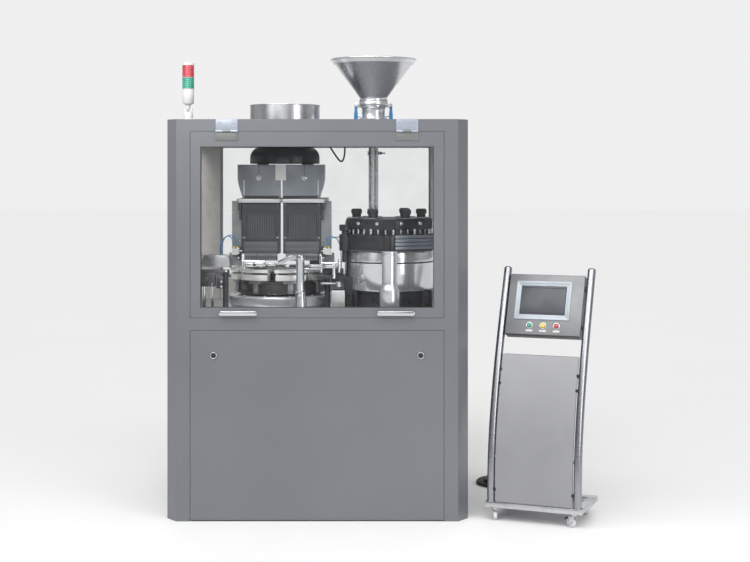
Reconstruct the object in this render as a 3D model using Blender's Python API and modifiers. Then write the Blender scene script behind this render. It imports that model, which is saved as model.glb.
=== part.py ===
"""A rotary capsule filling machine with its rolling operator console.

Metres. X runs along the machine's front, -Y faces the operator and +Z is up.
The origin is on the floor, under the middle of the cabinet.
"""

import math

import bmesh
import bpy
from mathutils import Vector

GAP = 0.0003
ROUND_STEPS = 40
SMALL_STEPS = 24

# Cabinet
HALF_WIDTH = 0.710
HALF_DEPTH = 0.590
FACE_HALF_WIDTH = 0.660
SURROUND_BACK = 0.5250
HEIGHT = 1.883
TABLE_TOP = 0.9475
TABLE_BOTTOM = 0.9225
INNER_HALF_WIDTH = 0.684
TUBE_SECTION = 0.050
FLOOR_PLATE = 0.012
SIDE_SKIN = 0.020
SEAM = 0.0015

# Front window and lower panel, as openings in the front surround
DOOR_HALF_WIDTH = 0.595
DOOR_LOW = 0.9515
DOOR_HIGH = 1.8265
DOOR_DEPTH = 0.030
LIP = 0.022
GLASS_HALF_WIDTH = 0.546
GLASS_LOW = 1.000
GLASS_HIGH = 1.754
GLASS_THICKNESS = 0.006
PANEL_HIGH = 0.894
PANEL_LOW = 0.006
PANEL_DEPTH = 0.026
LOCK_X = 0.485
LOCK_Z = 0.777
LOCK_RADIUS = 0.017

# Rear window
REAR_HALF_WIDTH = 0.572
REAR_LOW = 1.070
REAR_HIGH = 1.776
REBATE = 0.026

# Signal lamp
LAMP_X, LAMP_Y = -0.640, -0.310
LAMP_RADIUS = 0.0295

# Capsule feed: hopper drum, funnels and magazines
DRUM_X, DRUM_Y = -0.179, -0.140
DRUM_RADIUS = 0.1735
DRUM_TOP = 1.970
DRUM_FLOOR = 1.7655
COVER_BOTTOM = 1.677
FEED_X = -0.187
FUNNEL_TOP = 1.668
FUNNEL_BOTTOM = 1.5075
FUNNEL_FRONT, FUNNEL_BACK = -0.310, -0.205
MAGAZINE_FRONT, MAGAZINE_BACK = -0.290, -0.200
MAGAZINE_TOP = 1.4845
MAGAZINE_BOTTOM = 1.2025

# Turret
TURRET_X, TURRET_Y = -0.1985, -0.170
TURRET_BASE_TOP = 1.034
SEGMENT_RADIUS = 0.250
SEGMENT_TOP = 1.163

# Dosing station
DOSE_X, DOSE_Y = 0.340, -0.200
BOWL_RADIUS = 0.220
BOWL_BOTTOM = 1.0603
BOWL_TOP = 1.2585
COVER_APOTHEM = 0.2325
COVER_TOP = 1.333
HEAD_APOTHEM = 0.205
HEAD_BOTTOM = 1.358
HEAD_TOP = 1.408
KNOB_CIRCLE = 0.200
KNOB_TOP = 1.455
PILLAR_Y = -0.470

# Powder feed
POWDER_X, POWDER_Y = 0.263, -0.090
POWDER_TUBE_RADIUS = 0.0245
FUNNEL_RIM_RADIUS = 0.2165
FUNNEL_NECK_RADIUS = 0.068
FUNNEL_RIM_Z = 2.204
FUNNEL_NECK_Z = 1.994
LEVER_REACH = 0.088

# Drive under the table
SHAFT_Y, SHAFT_Z = -0.050, 0.550
SHAFT_RADIUS = 0.020

# Console
CONSOLE_X, CONSOLE_Y = 1.009, -0.643
CONSOLE_TURN = -22.0
POST_SPACING = 0.414
POST_RADIUS = 0.019
RAIL_LOW, RAIL_HIGH = 0.065, 0.090
BASE_FRONT, BASE_BACK = -0.020, 0.300
BASE_HALF = 0.232
SCREEN_HALF = 0.1835
SCREEN_LOW, SCREEN_HIGH = 0.854, 1.135
SCREEN_FRONT, SCREEN_BACK = -0.022, 0.036
BUTTON_ACROSS = (-0.065, 0.001, 0.067)
BUTTON_HEIGHT = 0.898
BUTTON_RADIUS = 0.011
CASTER_ACROSS = 0.188
CASTER_BACK = 0.270
CASTER_TRAIL = 0.016
WHEEL_RADIUS = 0.024
WHEEL_HALF = 0.009

# Cable: its route on the floor behind the console, and its coil
CABLE_RADIUS = 0.009
COIL_X, COIL_Y = 0.945, 0.220
COIL_MIDDLE = 0.108
COIL_HALF_BAND = 0.045
COIL_HEIGHT = 0.0365


def clear_scene():
    for item in list(bpy.data.objects):
        bpy.data.objects.remove(item, do_unlink=True)


def make_collection(name):
    collection = bpy.data.collections.new(name)
    bpy.context.scene.collection.children.link(collection)
    return collection


def make_material(name, colour, roughness, metallic=0.0, alpha=1.0):
    material = bpy.data.materials.new(name)
    material.use_nodes = True
    shader = material.node_tree.nodes["Principled BSDF"]
    shader.inputs["Base Color"].default_value = (*colour, 1.0)
    shader.inputs["Roughness"].default_value = roughness
    shader.inputs["Metallic"].default_value = metallic
    shader.inputs["Alpha"].default_value = alpha
    return material


clear_scene()
PARTS = make_collection("capsule_filler")
CUTTERS = make_collection("cutters")

PAINT = make_material("grey_paint", (0.27, 0.28, 0.30), 0.35)
DARK_PAINT = make_material("dark_grey_paint", (0.10, 0.10, 0.11), 0.40)
POLISHED = make_material("polished_steel", (0.78, 0.79, 0.80), 0.12, 1.0)
BRUSHED = make_material("brushed_steel", (0.60, 0.61, 0.62), 0.35, 1.0)
DARK_STEEL = make_material("dark_steel", (0.08, 0.075, 0.07), 0.35, 1.0)
ALUMINIUM = make_material("aluminium", (0.70, 0.69, 0.66), 0.35, 1.0)
BLACK = make_material("black_plastic", (0.02, 0.02, 0.022), 0.40)
CHARCOAL = make_material("charcoal_plastic", (0.045, 0.047, 0.055), 0.45)
SMOKED = make_material("smoked_plastic", (0.16, 0.18, 0.20), 0.20, 0.0, 0.85)
GLASS = make_material("clear_glass", (0.95, 0.97, 0.97), 0.05, 0.0, 0.12)
WHITE = make_material("white_plastic", (0.85, 0.85, 0.84), 0.35)
BLUE = make_material("blue_plastic", (0.02, 0.17, 0.42), 0.35)
GREEN = make_material("green_lens", (0.02, 0.42, 0.25), 0.20)
RED = make_material("red_lens", (0.75, 0.03, 0.08), 0.20)
YELLOW = make_material("yellow_lens", (0.85, 0.62, 0.03), 0.20)
RUBBER = make_material("black_rubber", (0.015, 0.015, 0.015), 0.60)


def link(name, data, location, material, parent=None):
    """Adds an object to the parts, or to the cutters when it has no material."""
    obj = bpy.data.objects.new(name, data)
    obj.location = location
    obj.parent = parent
    if material is None:
        CUTTERS.objects.link(obj)
        obj.hide_render = True
        obj.display_type = "WIRE"
    else:
        PARTS.objects.link(obj)
        data.materials.append(material)
    return obj


def finish_mesh(name, shape, location, material, parent=None):
    bmesh.ops.recalc_face_normals(shape, faces=shape.faces)
    data = bpy.data.meshes.new(name)
    shape.to_mesh(data)
    shape.free()
    data.shade_smooth()
    data.set_sharp_from_angle(angle=math.radians(35))
    return link(name, data, location, material, parent)


def box(name, low, high, material=None, pivot=None, bevel=0.0, parent=None):
    """A block between two corners. Its origin is at pivot, or at its own centre."""
    low, high = Vector(low), Vector(high)
    middle = (low + high) / 2
    pivot = middle if pivot is None else Vector(pivot)
    shape = bmesh.new()
    bmesh.ops.create_cube(shape, size=1.0)
    bmesh.ops.scale(shape, vec=high - low, verts=shape.verts)
    bmesh.ops.translate(shape, vec=middle - pivot, verts=shape.verts)
    obj = finish_mesh(name, shape, pivot, material, parent)
    if bevel:
        soften(obj, bevel)
    return obj


def rod(name, start, end, radius, material=None, parent=None, steps=SMALL_STEPS):
    """A round bar between two points. Its origin is at its middle."""
    start, end = Vector(start), Vector(end)
    along = end - start
    shape = bmesh.new()
    bmesh.ops.create_cone(
        shape, cap_ends=True, segments=steps, radius1=radius, radius2=radius,
        depth=along.length,
    )
    turn = along.to_track_quat("Z", "Y").to_matrix().to_4x4()
    bmesh.ops.transform(shape, matrix=turn, verts=shape.verts)
    return finish_mesh(name, shape, (start + end) / 2, material, parent)


def turned(name, profile, place, material=None, steps=ROUND_STEPS, ring=False, axis="Z", parent=None):
    """A turned piece. The profile lists (radius, height), down the outer side and round."""
    data = bpy.data.meshes.new(name)
    points = [(radius, 0.0, height) for radius, height in profile]
    edges = [(i, i + 1) for i in range(len(points) - 1)]
    if ring:
        edges.append((len(points) - 1, 0))
    data.from_pydata(points, edges, [])
    obj = link(name, data, place, material, parent)
    if axis == "X":
        obj.rotation_euler = (0.0, math.radians(90), 0.0)
    if axis == "Y":
        obj.rotation_euler = (math.radians(-90), 0.0, 0.0)
    screw = obj.modifiers.new("Turn", "SCREW")
    screw.axis = "Z"
    screw.angle = 2 * math.pi
    screw.steps = steps
    screw.render_steps = steps
    screw.use_merge_vertices = True
    screw.merge_threshold = 0.00005
    screw.use_smooth_shade = True
    return obj


def as_mesh(curve_object, material):
    """Turns a curve object into a mesh object that a Boolean can take."""
    bpy.context.view_layer.update()
    name = curve_object.name
    graph = bpy.context.evaluated_depsgraph_get()
    data = bpy.data.meshes.new_from_object(curve_object.evaluated_get(graph))
    shape = bmesh.new()
    shape.from_mesh(data)
    bmesh.ops.remove_doubles(shape, verts=shape.verts, dist=0.00002)
    bmesh.ops.recalc_face_normals(shape, faces=shape.faces)
    shape.to_mesh(data)
    shape.free()
    place = curve_object.matrix_world.copy()
    parent = curve_object.parent
    bpy.data.objects.remove(curve_object, do_unlink=True)
    data.materials.clear()
    data.shade_smooth()
    data.set_sharp_from_angle(angle=math.radians(35))
    obj = link(name, data, (0.0, 0.0, 0.0), material, parent)
    obj.matrix_world = place
    return obj


def outline(name, points, low, high, material=None, plane="XY"):
    """A flat outline given thickness: in plan (XY) between two heights, or from the front (XZ)."""
    curve = bpy.data.curves.new(name, "CURVE")
    curve.dimensions = "2D"
    curve.fill_mode = "BOTH"
    curve.extrude = (high - low) / 2
    spline = curve.splines.new("POLY")
    spline.points.add(len(points) - 1)
    for point, (x, y) in zip(spline.points, points):
        point.co = (x, y, 0.0, 1.0)
    spline.use_cyclic_u = True
    obj = bpy.data.objects.new(name, curve)
    PARTS.objects.link(obj)
    middle = (low + high) / 2
    if plane == "XY":
        obj.location = (0.0, 0.0, middle)
    else:
        obj.rotation_euler = (math.radians(90), 0.0, 0.0)
        obj.location = (0.0, middle, 0.0)
    return as_mesh(obj, material)


def tube(name, points, radius, material=None, parent=None, sides=3, mesh=False):
    """A round tube along a list of points."""
    curve = bpy.data.curves.new(name, "CURVE")
    curve.dimensions = "3D"
    curve.bevel_depth = radius
    curve.bevel_resolution = sides
    curve.use_fill_caps = True
    spline = curve.splines.new("POLY")
    spline.points.add(len(points) - 1)
    for point, place in zip(spline.points, points):
        point.co = (*place, 1.0)
    obj = bpy.data.objects.new(name, curve)
    PARTS.objects.link(obj)
    obj.parent = parent
    if mesh:
        return as_mesh(obj, material)
    curve.materials.append(material)
    return obj


def soften(obj, width, segments=2):
    bevel = obj.modifiers.new("Edges", "BEVEL")
    bevel.width = width
    bevel.segments = segments
    bevel.limit_method = "ANGLE"


def combine(obj, other, operation):
    modifier = obj.modifiers.new(other.name, "BOOLEAN")
    modifier.operation = operation
    modifier.solver = "EXACT"
    modifier.object = other


def cut(obj, *others):
    for other in others:
        combine(obj, other, "DIFFERENCE")


def join(obj, *others):
    for other in others:
        combine(obj, other, "UNION")


def smooth_route(points, spacing):
    """Points at an even spacing along a Catmull-Rom curve through the given points."""
    route = [Vector(point) for point in points]
    route.insert(0, 2 * route[0] - route[1])
    route.append(2 * route[-1] - route[-2])
    dense = []
    for before, start, end, after in zip(route, route[1:], route[2:], route[3:]):
        for step in range(40):
            t = step / 40
            dense.append(0.5 * (
                2 * start + (end - before) * t
                + (2 * before - 5 * start + 4 * end - after) * t * t
                + (3 * start - before - 3 * end + after) * t * t * t
            ))
    dense.append(route[-2])
    total = sum((b - a).length for a, b in zip(dense, dense[1:]))
    count = max(2, round(total / spacing))
    even, walked, target = [dense[0]], 0.0, total / count
    for a, b in zip(dense, dense[1:]):
        step = (b - a).length
        while walked + step >= target - 1e-9 and len(even) < count:
            even.append(a.lerp(b, (target - walked) / step))
            target += total / count
        walked += step
    even.append(dense[-1])
    return even


def hexagon(apothem, x, y, corner_angle=30.0):
    """Six corners with flats facing +X and -X."""
    corner = apothem / math.cos(math.radians(30))
    angles = [math.radians(corner_angle + 60 * i) for i in range(6)]
    return [(x + corner * math.cos(a), y + corner * math.sin(a)) for a in angles]


# ---------------------------------------------------------------- cabinet

def surround(name, side):
    """The painted fascia at the front (side -1) or the rear (side +1), with chamfered corners."""
    face, back = side * HALF_DEPTH, side * (SURROUND_BACK - GAP)
    plan = [
        (-HALF_WIDTH, back), (-FACE_HALF_WIDTH, face), (FACE_HALF_WIDTH, face), (HALF_WIDTH, back),
    ]
    return outline(name, plan, 0.0, HEIGHT, PAINT)


def build_front_surround():
    obj = surround("front_surround", -1)
    front = -HALF_DEPTH - 0.01
    half = DOOR_HALF_WIDTH
    cut(
        obj,
        box("cut_door", (-half, front, DOOR_LOW), (half, -HALF_DEPTH + DOOR_DEPTH + 0.0075, DOOR_HIGH)),
        box(
            "cut_door_lip", (-half + LIP, front, DOOR_LOW + LIP),
            (half - LIP, -SURROUND_BACK + 0.01, DOOR_HIGH - LIP),
        ),
        box("cut_panel", (-half, front, -0.01), (half, -HALF_DEPTH + PANEL_DEPTH + 0.001, PANEL_HIGH)),
        box(
            "cut_panel_lip", (-half + LIP, front, -0.01),
            (half - LIP, -SURROUND_BACK + 0.01, PANEL_HIGH - LIP),
        ),
    )


def build_rear_surround():
    obj = surround("rear_surround", 1)
    half, outer = REAR_HALF_WIDTH, REAR_HALF_WIDTH + REBATE
    cut(
        obj,
        box("cut_rear", (-half, SURROUND_BACK - 0.01, REAR_LOW), (half, HALF_DEPTH + 0.01, REAR_HIGH)),
        box(
            "cut_rear_rebate", (-outer, HALF_DEPTH - REBATE - 0.002, REAR_LOW - REBATE),
            (outer, HALF_DEPTH + 0.01, REAR_HIGH + REBATE),
        ),
    )


def build_base_frame():
    width, depth = INNER_HALF_WIDTH, SURROUND_BACK - 0.0006
    obj = box("base_frame", (-width, -depth, 0.0), (width, depth, TABLE_BOTTOM - GAP), DARK_PAINT)
    low, high = TUBE_SECTION, TABLE_BOTTOM - TUBE_SECTION
    inner_width, inner_depth = width - TUBE_SECTION, depth - TUBE_SECTION
    cut(
        obj,
        box("cut_frame_front", (-inner_width, -0.7, low), (inner_width, 0.7, high)),
        box("cut_frame_side", (-0.8, -inner_depth, low), (0.8, inner_depth, high)),
        box("cut_frame_top", (-inner_width, -inner_depth, FLOOR_PLATE), (inner_width, inner_depth, 1.0)),
    )


def build_table_plate():
    """The machined plate, with the two brackets under it that carry the cam shaft."""
    width, depth = INNER_HALF_WIDTH, SURROUND_BACK - 0.0006
    obj = box("table_plate", (-width, -depth, TABLE_BOTTOM), (width, depth, TABLE_TOP), BRUSHED)
    for side in (-1, 1):
        bracket = box(
            f"bracket_{side}", (side * 0.515 - 0.015, SHAFT_Y - 0.06, SHAFT_Z - 0.06),
            (side * 0.515 + 0.015, SHAFT_Y + 0.06, TABLE_BOTTOM + 0.005),
        )
        join(obj, bracket)
    cut(obj, rod("cut_bearings", (-0.6, SHAFT_Y, SHAFT_Z), (0.6, SHAFT_Y, SHAFT_Z), SHAFT_RADIUS + 0.0015))


def build_roof():
    low = DOOR_HIGH
    depth = SURROUND_BACK - 0.0006
    obj = box("roof_panel", (-HALF_WIDTH, -depth, low), (HALF_WIDTH, depth, HEIGHT), PAINT)
    cut(
        obj,
        box("cut_roof", (-0.665, -0.49, low - 0.01), (0.665, 0.49, HEIGHT - 0.016)),
        rod("cut_drum_hole", (DRUM_X, DRUM_Y, 1.8), (DRUM_X, DRUM_Y, 1.9), DRUM_RADIUS + 0.0025, steps=40),
        rod(
            "cut_tube_hole", (POWDER_X, POWDER_Y, 1.8), (POWDER_X, POWDER_Y, 1.9),
            POWDER_TUBE_RADIUS + 0.0015,
        ),
    )


def build_side_panels():
    depth = SURROUND_BACK - 0.0006
    for side, name in ((-1, "side_panel_left"), (1, "side_panel_right")):
        inner, outer = side * (HALF_WIDTH - SIDE_SKIN), side * HALF_WIDTH
        box(
            name, (min(inner, outer), -depth, 0.0), (max(inner, outer), depth, TABLE_TOP - 0.0005), PAINT,
        )


def build_side_windows():
    depth = SURROUND_BACK - 0.003
    low, high = TABLE_TOP + 0.003, DOOR_HIGH - 0.003
    for side, name in ((-1, "left_window"), (1, "right_window")):
        inner, outer = side * 0.686, side * 0.692
        box(
            name, (min(inner, outer), -depth, low), (max(inner, outer), depth, high), GLASS,
        )


def build_rear_window():
    outer = REAR_HALF_WIDTH + REBATE - 0.002
    back = HALF_DEPTH - REBATE
    box(
        "rear_window", (-outer, back, REAR_LOW - REBATE + 0.002),
        (outer, back + GLASS_THICKNESS, REAR_HIGH + REBATE - 0.002), GLASS,
        pivot=(0.0, HALF_DEPTH, REAR_HIGH + REBATE),
    )


def build_front_window():
    half = DOOR_HALF_WIDTH - SEAM
    front, back = -HALF_DEPTH, -HALF_DEPTH + DOOR_DEPTH
    pivot = (0.0, -HALF_DEPTH - 0.006, DOOR_HIGH)
    frame = box(
        "front_window_frame", (-half, front, DOOR_LOW + SEAM), (half, back, DOOR_HIGH - SEAM), PAINT,
        pivot=pivot,
    )
    cut(
        frame,
        box(
            "cut_glass_opening", (-GLASS_HALF_WIDTH, front - 0.01, GLASS_LOW),
            (GLASS_HALF_WIDTH, back + 0.01, GLASS_HIGH),
        ),
    )
    box(
        "front_window_pane", (-GLASS_HALF_WIDTH - 0.015, back + GAP, GLASS_LOW - 0.015),
        (GLASS_HALF_WIDTH + 0.015, back + GAP + GLASS_THICKNESS, GLASS_HIGH + 0.015), GLASS, pivot=pivot,
    )


def build_lower_panel():
    half = DOOR_HALF_WIDTH - SEAM
    front, back = -HALF_DEPTH, -HALF_DEPTH + PANEL_DEPTH
    panel = box("lower_front_panel", (-half, front, PANEL_LOW), (half, back, PANEL_HIGH - SEAM), PAINT)
    for side, name in ((-1, "panel_lock_left"), (1, "panel_lock_right")):
        x = side * LOCK_X
        hole = rod(f"cut_{name}", (x, front - 0.01, LOCK_Z), (x, back + 0.01, LOCK_Z), LOCK_RADIUS + 0.001)
        cut(panel, hole)
        barrel = PANEL_DEPTH + 0.008
        lock = turned(
            name,
            [
                (0.0, barrel), (0.012, barrel), (0.012, 0.024), (LOCK_RADIUS, 0.020), (LOCK_RADIUS, 0.0),
                (0.0, 0.0),
            ],
            (x, front - 0.006, LOCK_Z), BRUSHED, SMALL_STEPS, axis="Y",
        )
        latch = box(
            f"latch_{name}", (x - 0.008, back + 0.0007, LOCK_Z - 0.008),
            (x + 0.008, back + 0.005, LOCK_Z + 0.045),
        )
        join(lock, latch)


# ---------------------------------------------------------------- roof fittings

def build_signal_lamp():
    place = (LAMP_X, LAMP_Y, 0.0)
    top = HEIGHT + GAP
    turned(
        "signal_post",
        [
            (0.0, 2.041), (0.028, 2.041), (0.028, 1.974), (0.020, 1.966), (0.011, 1.962), (0.011, 1.935),
            (0.022, 1.928), (0.022, 1.900), (0.030, 1.894), (0.030, top), (0.0, top),
        ],
        place, WHITE, SMALL_STEPS,
    )
    turned(
        "signal_lens_green",
        [(0.0, 2.0965), (LAMP_RADIUS, 2.0965), (LAMP_RADIUS, 2.0415), (0.0, 2.0415)],
        place, GREEN, SMALL_STEPS,
    )
    turned(
        "signal_lens_red",
        [(0.0, 2.168), (0.022, 2.164), (LAMP_RADIUS, 2.155), (LAMP_RADIUS, 2.0970), (0.0, 2.0970)],
        place, RED, SMALL_STEPS,
    )


def build_capsule_drum():
    place = (DRUM_X, DRUM_Y, 0.0)
    wall, outlet = 0.003, 0.058
    turned(
        "capsule_drum",
        [
            (DRUM_RADIUS + 0.003, DRUM_TOP), (DRUM_RADIUS + 0.003, DRUM_TOP - 0.006),
            (DRUM_RADIUS, DRUM_TOP - 0.009), (DRUM_RADIUS, DRUM_FLOOR), (outlet, DRUM_FLOOR),
            (outlet, DRUM_FLOOR + wall), (DRUM_RADIUS - wall, DRUM_FLOOR + wall),
            (DRUM_RADIUS - wall, DRUM_TOP),
        ],
        place, POLISHED, ring=True,
    )
    top = DRUM_FLOOR - GAP
    turned(
        "drum_cover",
        [
            (0.110, top), (0.140, top - 0.007), (0.160, top - 0.022), (0.171, top - 0.042),
            (DRUM_RADIUS, top - 0.058), (DRUM_RADIUS, COVER_BOTTOM), (outlet, COVER_BOTTOM), (outlet, top),
        ],
        place, BLACK, ring=True,
    )


def build_powder_feed():
    place = (POWDER_X, POWDER_Y, 0.0)
    bore = POWDER_TUBE_RADIUS - 0.002
    turned(
        "powder_tube",
        [(POWDER_TUBE_RADIUS, HEIGHT), (POWDER_TUBE_RADIUS, 1.345), (bore, 1.345), (bore, HEIGHT)],
        place, POLISHED, SMALL_STEPS, ring=True,
    )
    low, high = HEIGHT + GAP, FUNNEL_NECK_Z - GAP
    turned(
        "funnel_clamp",
        [
            (0.062, high), (0.076, high - 0.006), (0.076, high - 0.022), (0.062, high - 0.030),
            (0.058, low + 0.030), (0.070, low + 0.024), (0.070, low), (bore, low), (bore, high),
        ],
        place, POLISHED, ring=True,
    )
    wall = 0.0025
    turned(
        "powder_funnel",
        [
            (FUNNEL_RIM_RADIUS, FUNNEL_RIM_Z), (FUNNEL_RIM_RADIUS, FUNNEL_RIM_Z - 0.006),
            (FUNNEL_RIM_RADIUS - 0.008, FUNNEL_RIM_Z - 0.010), (FUNNEL_NECK_RADIUS, FUNNEL_NECK_Z + 0.012),
            (FUNNEL_NECK_RADIUS, FUNNEL_NECK_Z), (FUNNEL_NECK_RADIUS - wall, FUNNEL_NECK_Z),
            (FUNNEL_NECK_RADIUS - wall, FUNNEL_NECK_Z + 0.013), (FUNNEL_RIM_RADIUS - 0.011, FUNNEL_RIM_Z),
        ],
        place, POLISHED, ring=True,
    )
    for side, name in ((-1, "clamp_lever_left"), (1, "clamp_lever_right")):
        inner, outer = POWDER_X + side * 0.0775, POWDER_X + side * 0.0985
        box(
            name, (min(inner, outer), POWDER_Y - 0.009, 1.900),
            (max(inner, outer), POWDER_Y + 0.009, 1.978), BLUE,
            pivot=(POWDER_X + side * LEVER_REACH, POWDER_Y, 1.970), bevel=0.004,
        )


# ---------------------------------------------------------------- capsule feeding station

def build_funnels():
    """Two open-topped hoppers side by side, bridged by a small plate on their front."""
    side_shape = [
        (0.0065, FUNNEL_BOTTOM), (0.194, FUNNEL_BOTTOM), (0.206, FUNNEL_BOTTOM + 0.040),
        (0.2125, FUNNEL_BOTTOM + 0.095), (0.2125, FUNNEL_TOP), (0.0065, FUNNEL_TOP),
    ]
    left = outline(
        "capsule_funnels", [(FEED_X - x, z) for x, z in side_shape], FUNNEL_FRONT, FUNNEL_BACK, SMOKED, "XZ",
    )
    right = outline(
        "funnel_right", [(FEED_X + x, z) for x, z in side_shape], FUNNEL_FRONT, FUNNEL_BACK, None, "XZ",
    )
    bridge = box("funnel_bridge", (FEED_X - 0.028, -0.3130, 1.595), (FEED_X + 0.024, -0.3085, 1.672))
    join(left, right, bridge)
    for side in (-1, 1):
        near, far = FEED_X + side * 0.0105, FEED_X + side * 0.188
        cut(
            left,
            box(
                f"cut_funnel_{side}", (min(near, far), FUNNEL_FRONT + 0.004, FUNNEL_BOTTOM + 0.006),
                (max(near, far), FUNNEL_BACK - 0.004, FUNNEL_TOP + 0.01),
            ),
            box(
                f"cut_funnel_slot_{side}", (min(near, far), -0.262, FUNNEL_BOTTOM - 0.01),
                (max(near, far), -0.246, FUNNEL_BOTTOM + 0.01),
            ),
        )


def build_feeder_column():
    """Two uprights behind the turret, a top plate reaching forward and two side plates."""
    plate_low, plate_high = 1.4855, 1.5040
    back = 0.175
    frame = box(
        "feeder_column", (FEED_X - 0.217, -0.305, plate_low), (FEED_X + 0.217, back, plate_high), BRUSHED,
    )
    cut(frame, box("cut_feeder_top", (FEED_X - 0.09, -0.18, 1.4), (FEED_X + 0.09, 0.09, 1.6)))
    for side in (-1, 1):
        near, far = FEED_X + side * 0.120, FEED_X + side * 0.170
        upright = box(
            f"upright_{side}", (min(near, far), 0.095, TABLE_TOP + GAP),
            (max(near, far), back - 0.002, plate_high - 0.002),
        )
        near, far = FEED_X + side * 0.197, FEED_X + side * 0.2435
        plate = box(
            f"side_plate_{side}", (min(near, far), -0.270, 1.260), (max(near, far), -0.215, plate_low + 0.008),
        )
        join(frame, upright, plate)
        near, far = FEED_X + side * 0.0105, FEED_X + side * 0.188
        cut(frame, box(f"cut_slot_{side}", (min(near, far), -0.262, 1.4), (max(near, far), -0.246, 1.6)))


def build_magazines():
    for side, name in ((-1, "magazine_left"), (1, "magazine_right")):
        near, far = FEED_X + side * 0.0085, FEED_X + side * 0.1935
        low_x, high_x = min(near, far), max(near, far)
        body = box(
            name, (low_x, MAGAZINE_FRONT, MAGAZINE_BOTTOM + 0.034), (high_x, MAGAZINE_BACK, MAGAZINE_TOP),
            CHARCOAL,
        )
        comb = box(
            f"comb_{name}", (low_x + 0.012, MAGAZINE_FRONT + 0.006, MAGAZINE_BOTTOM),
            (high_x - 0.012, MAGAZINE_FRONT + 0.030, MAGAZINE_BOTTOM + 0.04),
        )
        join(body, comb)


# ---------------------------------------------------------------- turret

def build_turret():
    place = (TURRET_X, TURRET_Y, 0.0)
    turned(
        "turret_base",
        [
            (0.246, TURRET_BASE_TOP), (0.255, TURRET_BASE_TOP - 0.006), (0.255, 0.987), (0.247, 0.982),
            (0.247, TABLE_TOP + GAP), (0.060, TABLE_TOP + GAP), (0.060, TURRET_BASE_TOP),
        ],
        place, POLISHED, ring=True,
    )
    turned(
        "turret_drum",
        [
            (0.0, SEGMENT_TOP), (SEGMENT_RADIUS, SEGMENT_TOP), (SEGMENT_RADIUS, 1.148), (0.205, 1.148),
            (0.205, 1.139), (0.246, 1.139), (0.246, 1.110), (0.215, 1.106), (0.215, 1.0405), (0.055, 1.0405),
            (0.055, 0.952), (0.0, 0.952),
        ],
        place, DARK_STEEL,
    )


def build_arm_post():
    x, y = -0.085, -0.470
    low = TABLE_TOP + GAP
    post = turned(
        "arm_post",
        [(0.0, 1.240), (0.022, 1.240), (0.022, 1.062), (0.026, 1.055), (0.034, 0.990), (0.034, low), (0.0, low)],
        (x, y, 0.0), POLISHED, SMALL_STEPS,
    )
    arm = outline(
        "arm_bar",
        [
            (x, 1.238), (-0.132, 1.238), (-0.192, 1.212), (-0.192, 1.198), (-0.172, 1.196), (-0.130, 1.218),
            (x, 1.220),
        ],
        y - 0.013, y + 0.013, None, "XZ",
    )
    join(post, arm)


def build_discharge_chute():
    """An open tray beside the turret on a square leg."""
    tray = box("discharge_chute", (-0.640, -0.350, 1.172), (-0.435, -0.225, 1.232), BRUSHED)
    leg = box("chute_leg", (-0.530, -0.310, TABLE_TOP + GAP), (-0.485, -0.265, 1.180))
    join(tray, leg)
    cut(tray, box("cut_tray", (-0.632, -0.342, 1.182), (-0.40, -0.233, 1.30)))


# ---------------------------------------------------------------- dosing station

def build_dosing_station():
    place = (DOSE_X, DOSE_Y, 0.0)
    turned(
        "dosing_base",
        [(0.0, BOWL_BOTTOM - GAP), (0.200, BOWL_BOTTOM - GAP), (0.200, TABLE_TOP + GAP), (0.0, TABLE_TOP + GAP)],
        place, BLACK,
    )
    inside, floor = 0.200, 1.120
    turned(
        "dosing_bowl",
        [
            (0.0, floor), (inside, floor), (inside, BOWL_TOP), (BOWL_RADIUS, BOWL_TOP), (BOWL_RADIUS, 1.200),
            (BOWL_RADIUS - 0.003, 1.198), (BOWL_RADIUS - 0.003, 1.195), (BOWL_RADIUS, 1.193),
            (BOWL_RADIUS, BOWL_BOTTOM), (0.0, BOWL_BOTTOM),
        ],
        place, POLISHED,
    )
    turned(
        "dosing_disc",
        [(0.0, 1.146), (0.040, 1.146), (0.050, 1.138), (0.196, 1.138), (0.196, floor + 0.0005), (0.0, floor + 0.0005)],
        place, BRUSHED,
    )
    ring = outline(
        "dosing_cover_plate", hexagon(COVER_APOTHEM, DOSE_X, DOSE_Y), BOWL_TOP + GAP, COVER_TOP, BLACK,
    )
    cut(ring, rod("cut_cover_plate", (DOSE_X, DOSE_Y, 1.2), (DOSE_X, DOSE_Y, 1.4), 0.185, steps=ROUND_STEPS))
    turned(
        "front_pillar",
        [
            (0.0, BOWL_TOP - GAP), (0.0385, BOWL_TOP - GAP), (0.0385, 1.130), (0.0365, 1.115), (0.049, 1.060),
            (0.049, TABLE_TOP + GAP), (0.0, TABLE_TOP + GAP),
        ],
        (DOSE_X, PILLAR_Y, 0.0), POLISHED,
    )


def build_tamping_head():
    """The rising head: a hexagonal plate, the pin ring under it and a knob over each corner block."""
    head = outline("tamping_head", hexagon(HEAD_APOTHEM, DOSE_X, DOSE_Y), HEAD_BOTTOM, HEAD_TOP, BLACK)
    rest = COVER_TOP + GAP
    pins = turned(
        "pin_ring",
        [(0.205, HEAD_BOTTOM + 0.002), (0.205, rest), (0.192, rest), (0.192, HEAD_BOTTOM + 0.002)],
        (DOSE_X, DOSE_Y, 0.0), ring=True, steps=32,
    )
    join(head, pins)
    for index in range(6):
        angle = math.radians(60 * index)
        x = DOSE_X + 0.8 * KNOB_CIRCLE * math.cos(angle)
        y = DOSE_Y + 0.8 * KNOB_CIRCLE * math.sin(angle)
        join(head, rod(f"knob_{index}", (x, y, HEAD_TOP - 0.01), (x, y, KNOB_TOP), 0.022, steps=12))
    cut(head, rod("cut_head", (POWDER_X, POWDER_Y, 1.3), (POWDER_X, POWDER_Y, 1.5), 0.036, steps=20))


# ---------------------------------------------------------------- drive

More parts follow.
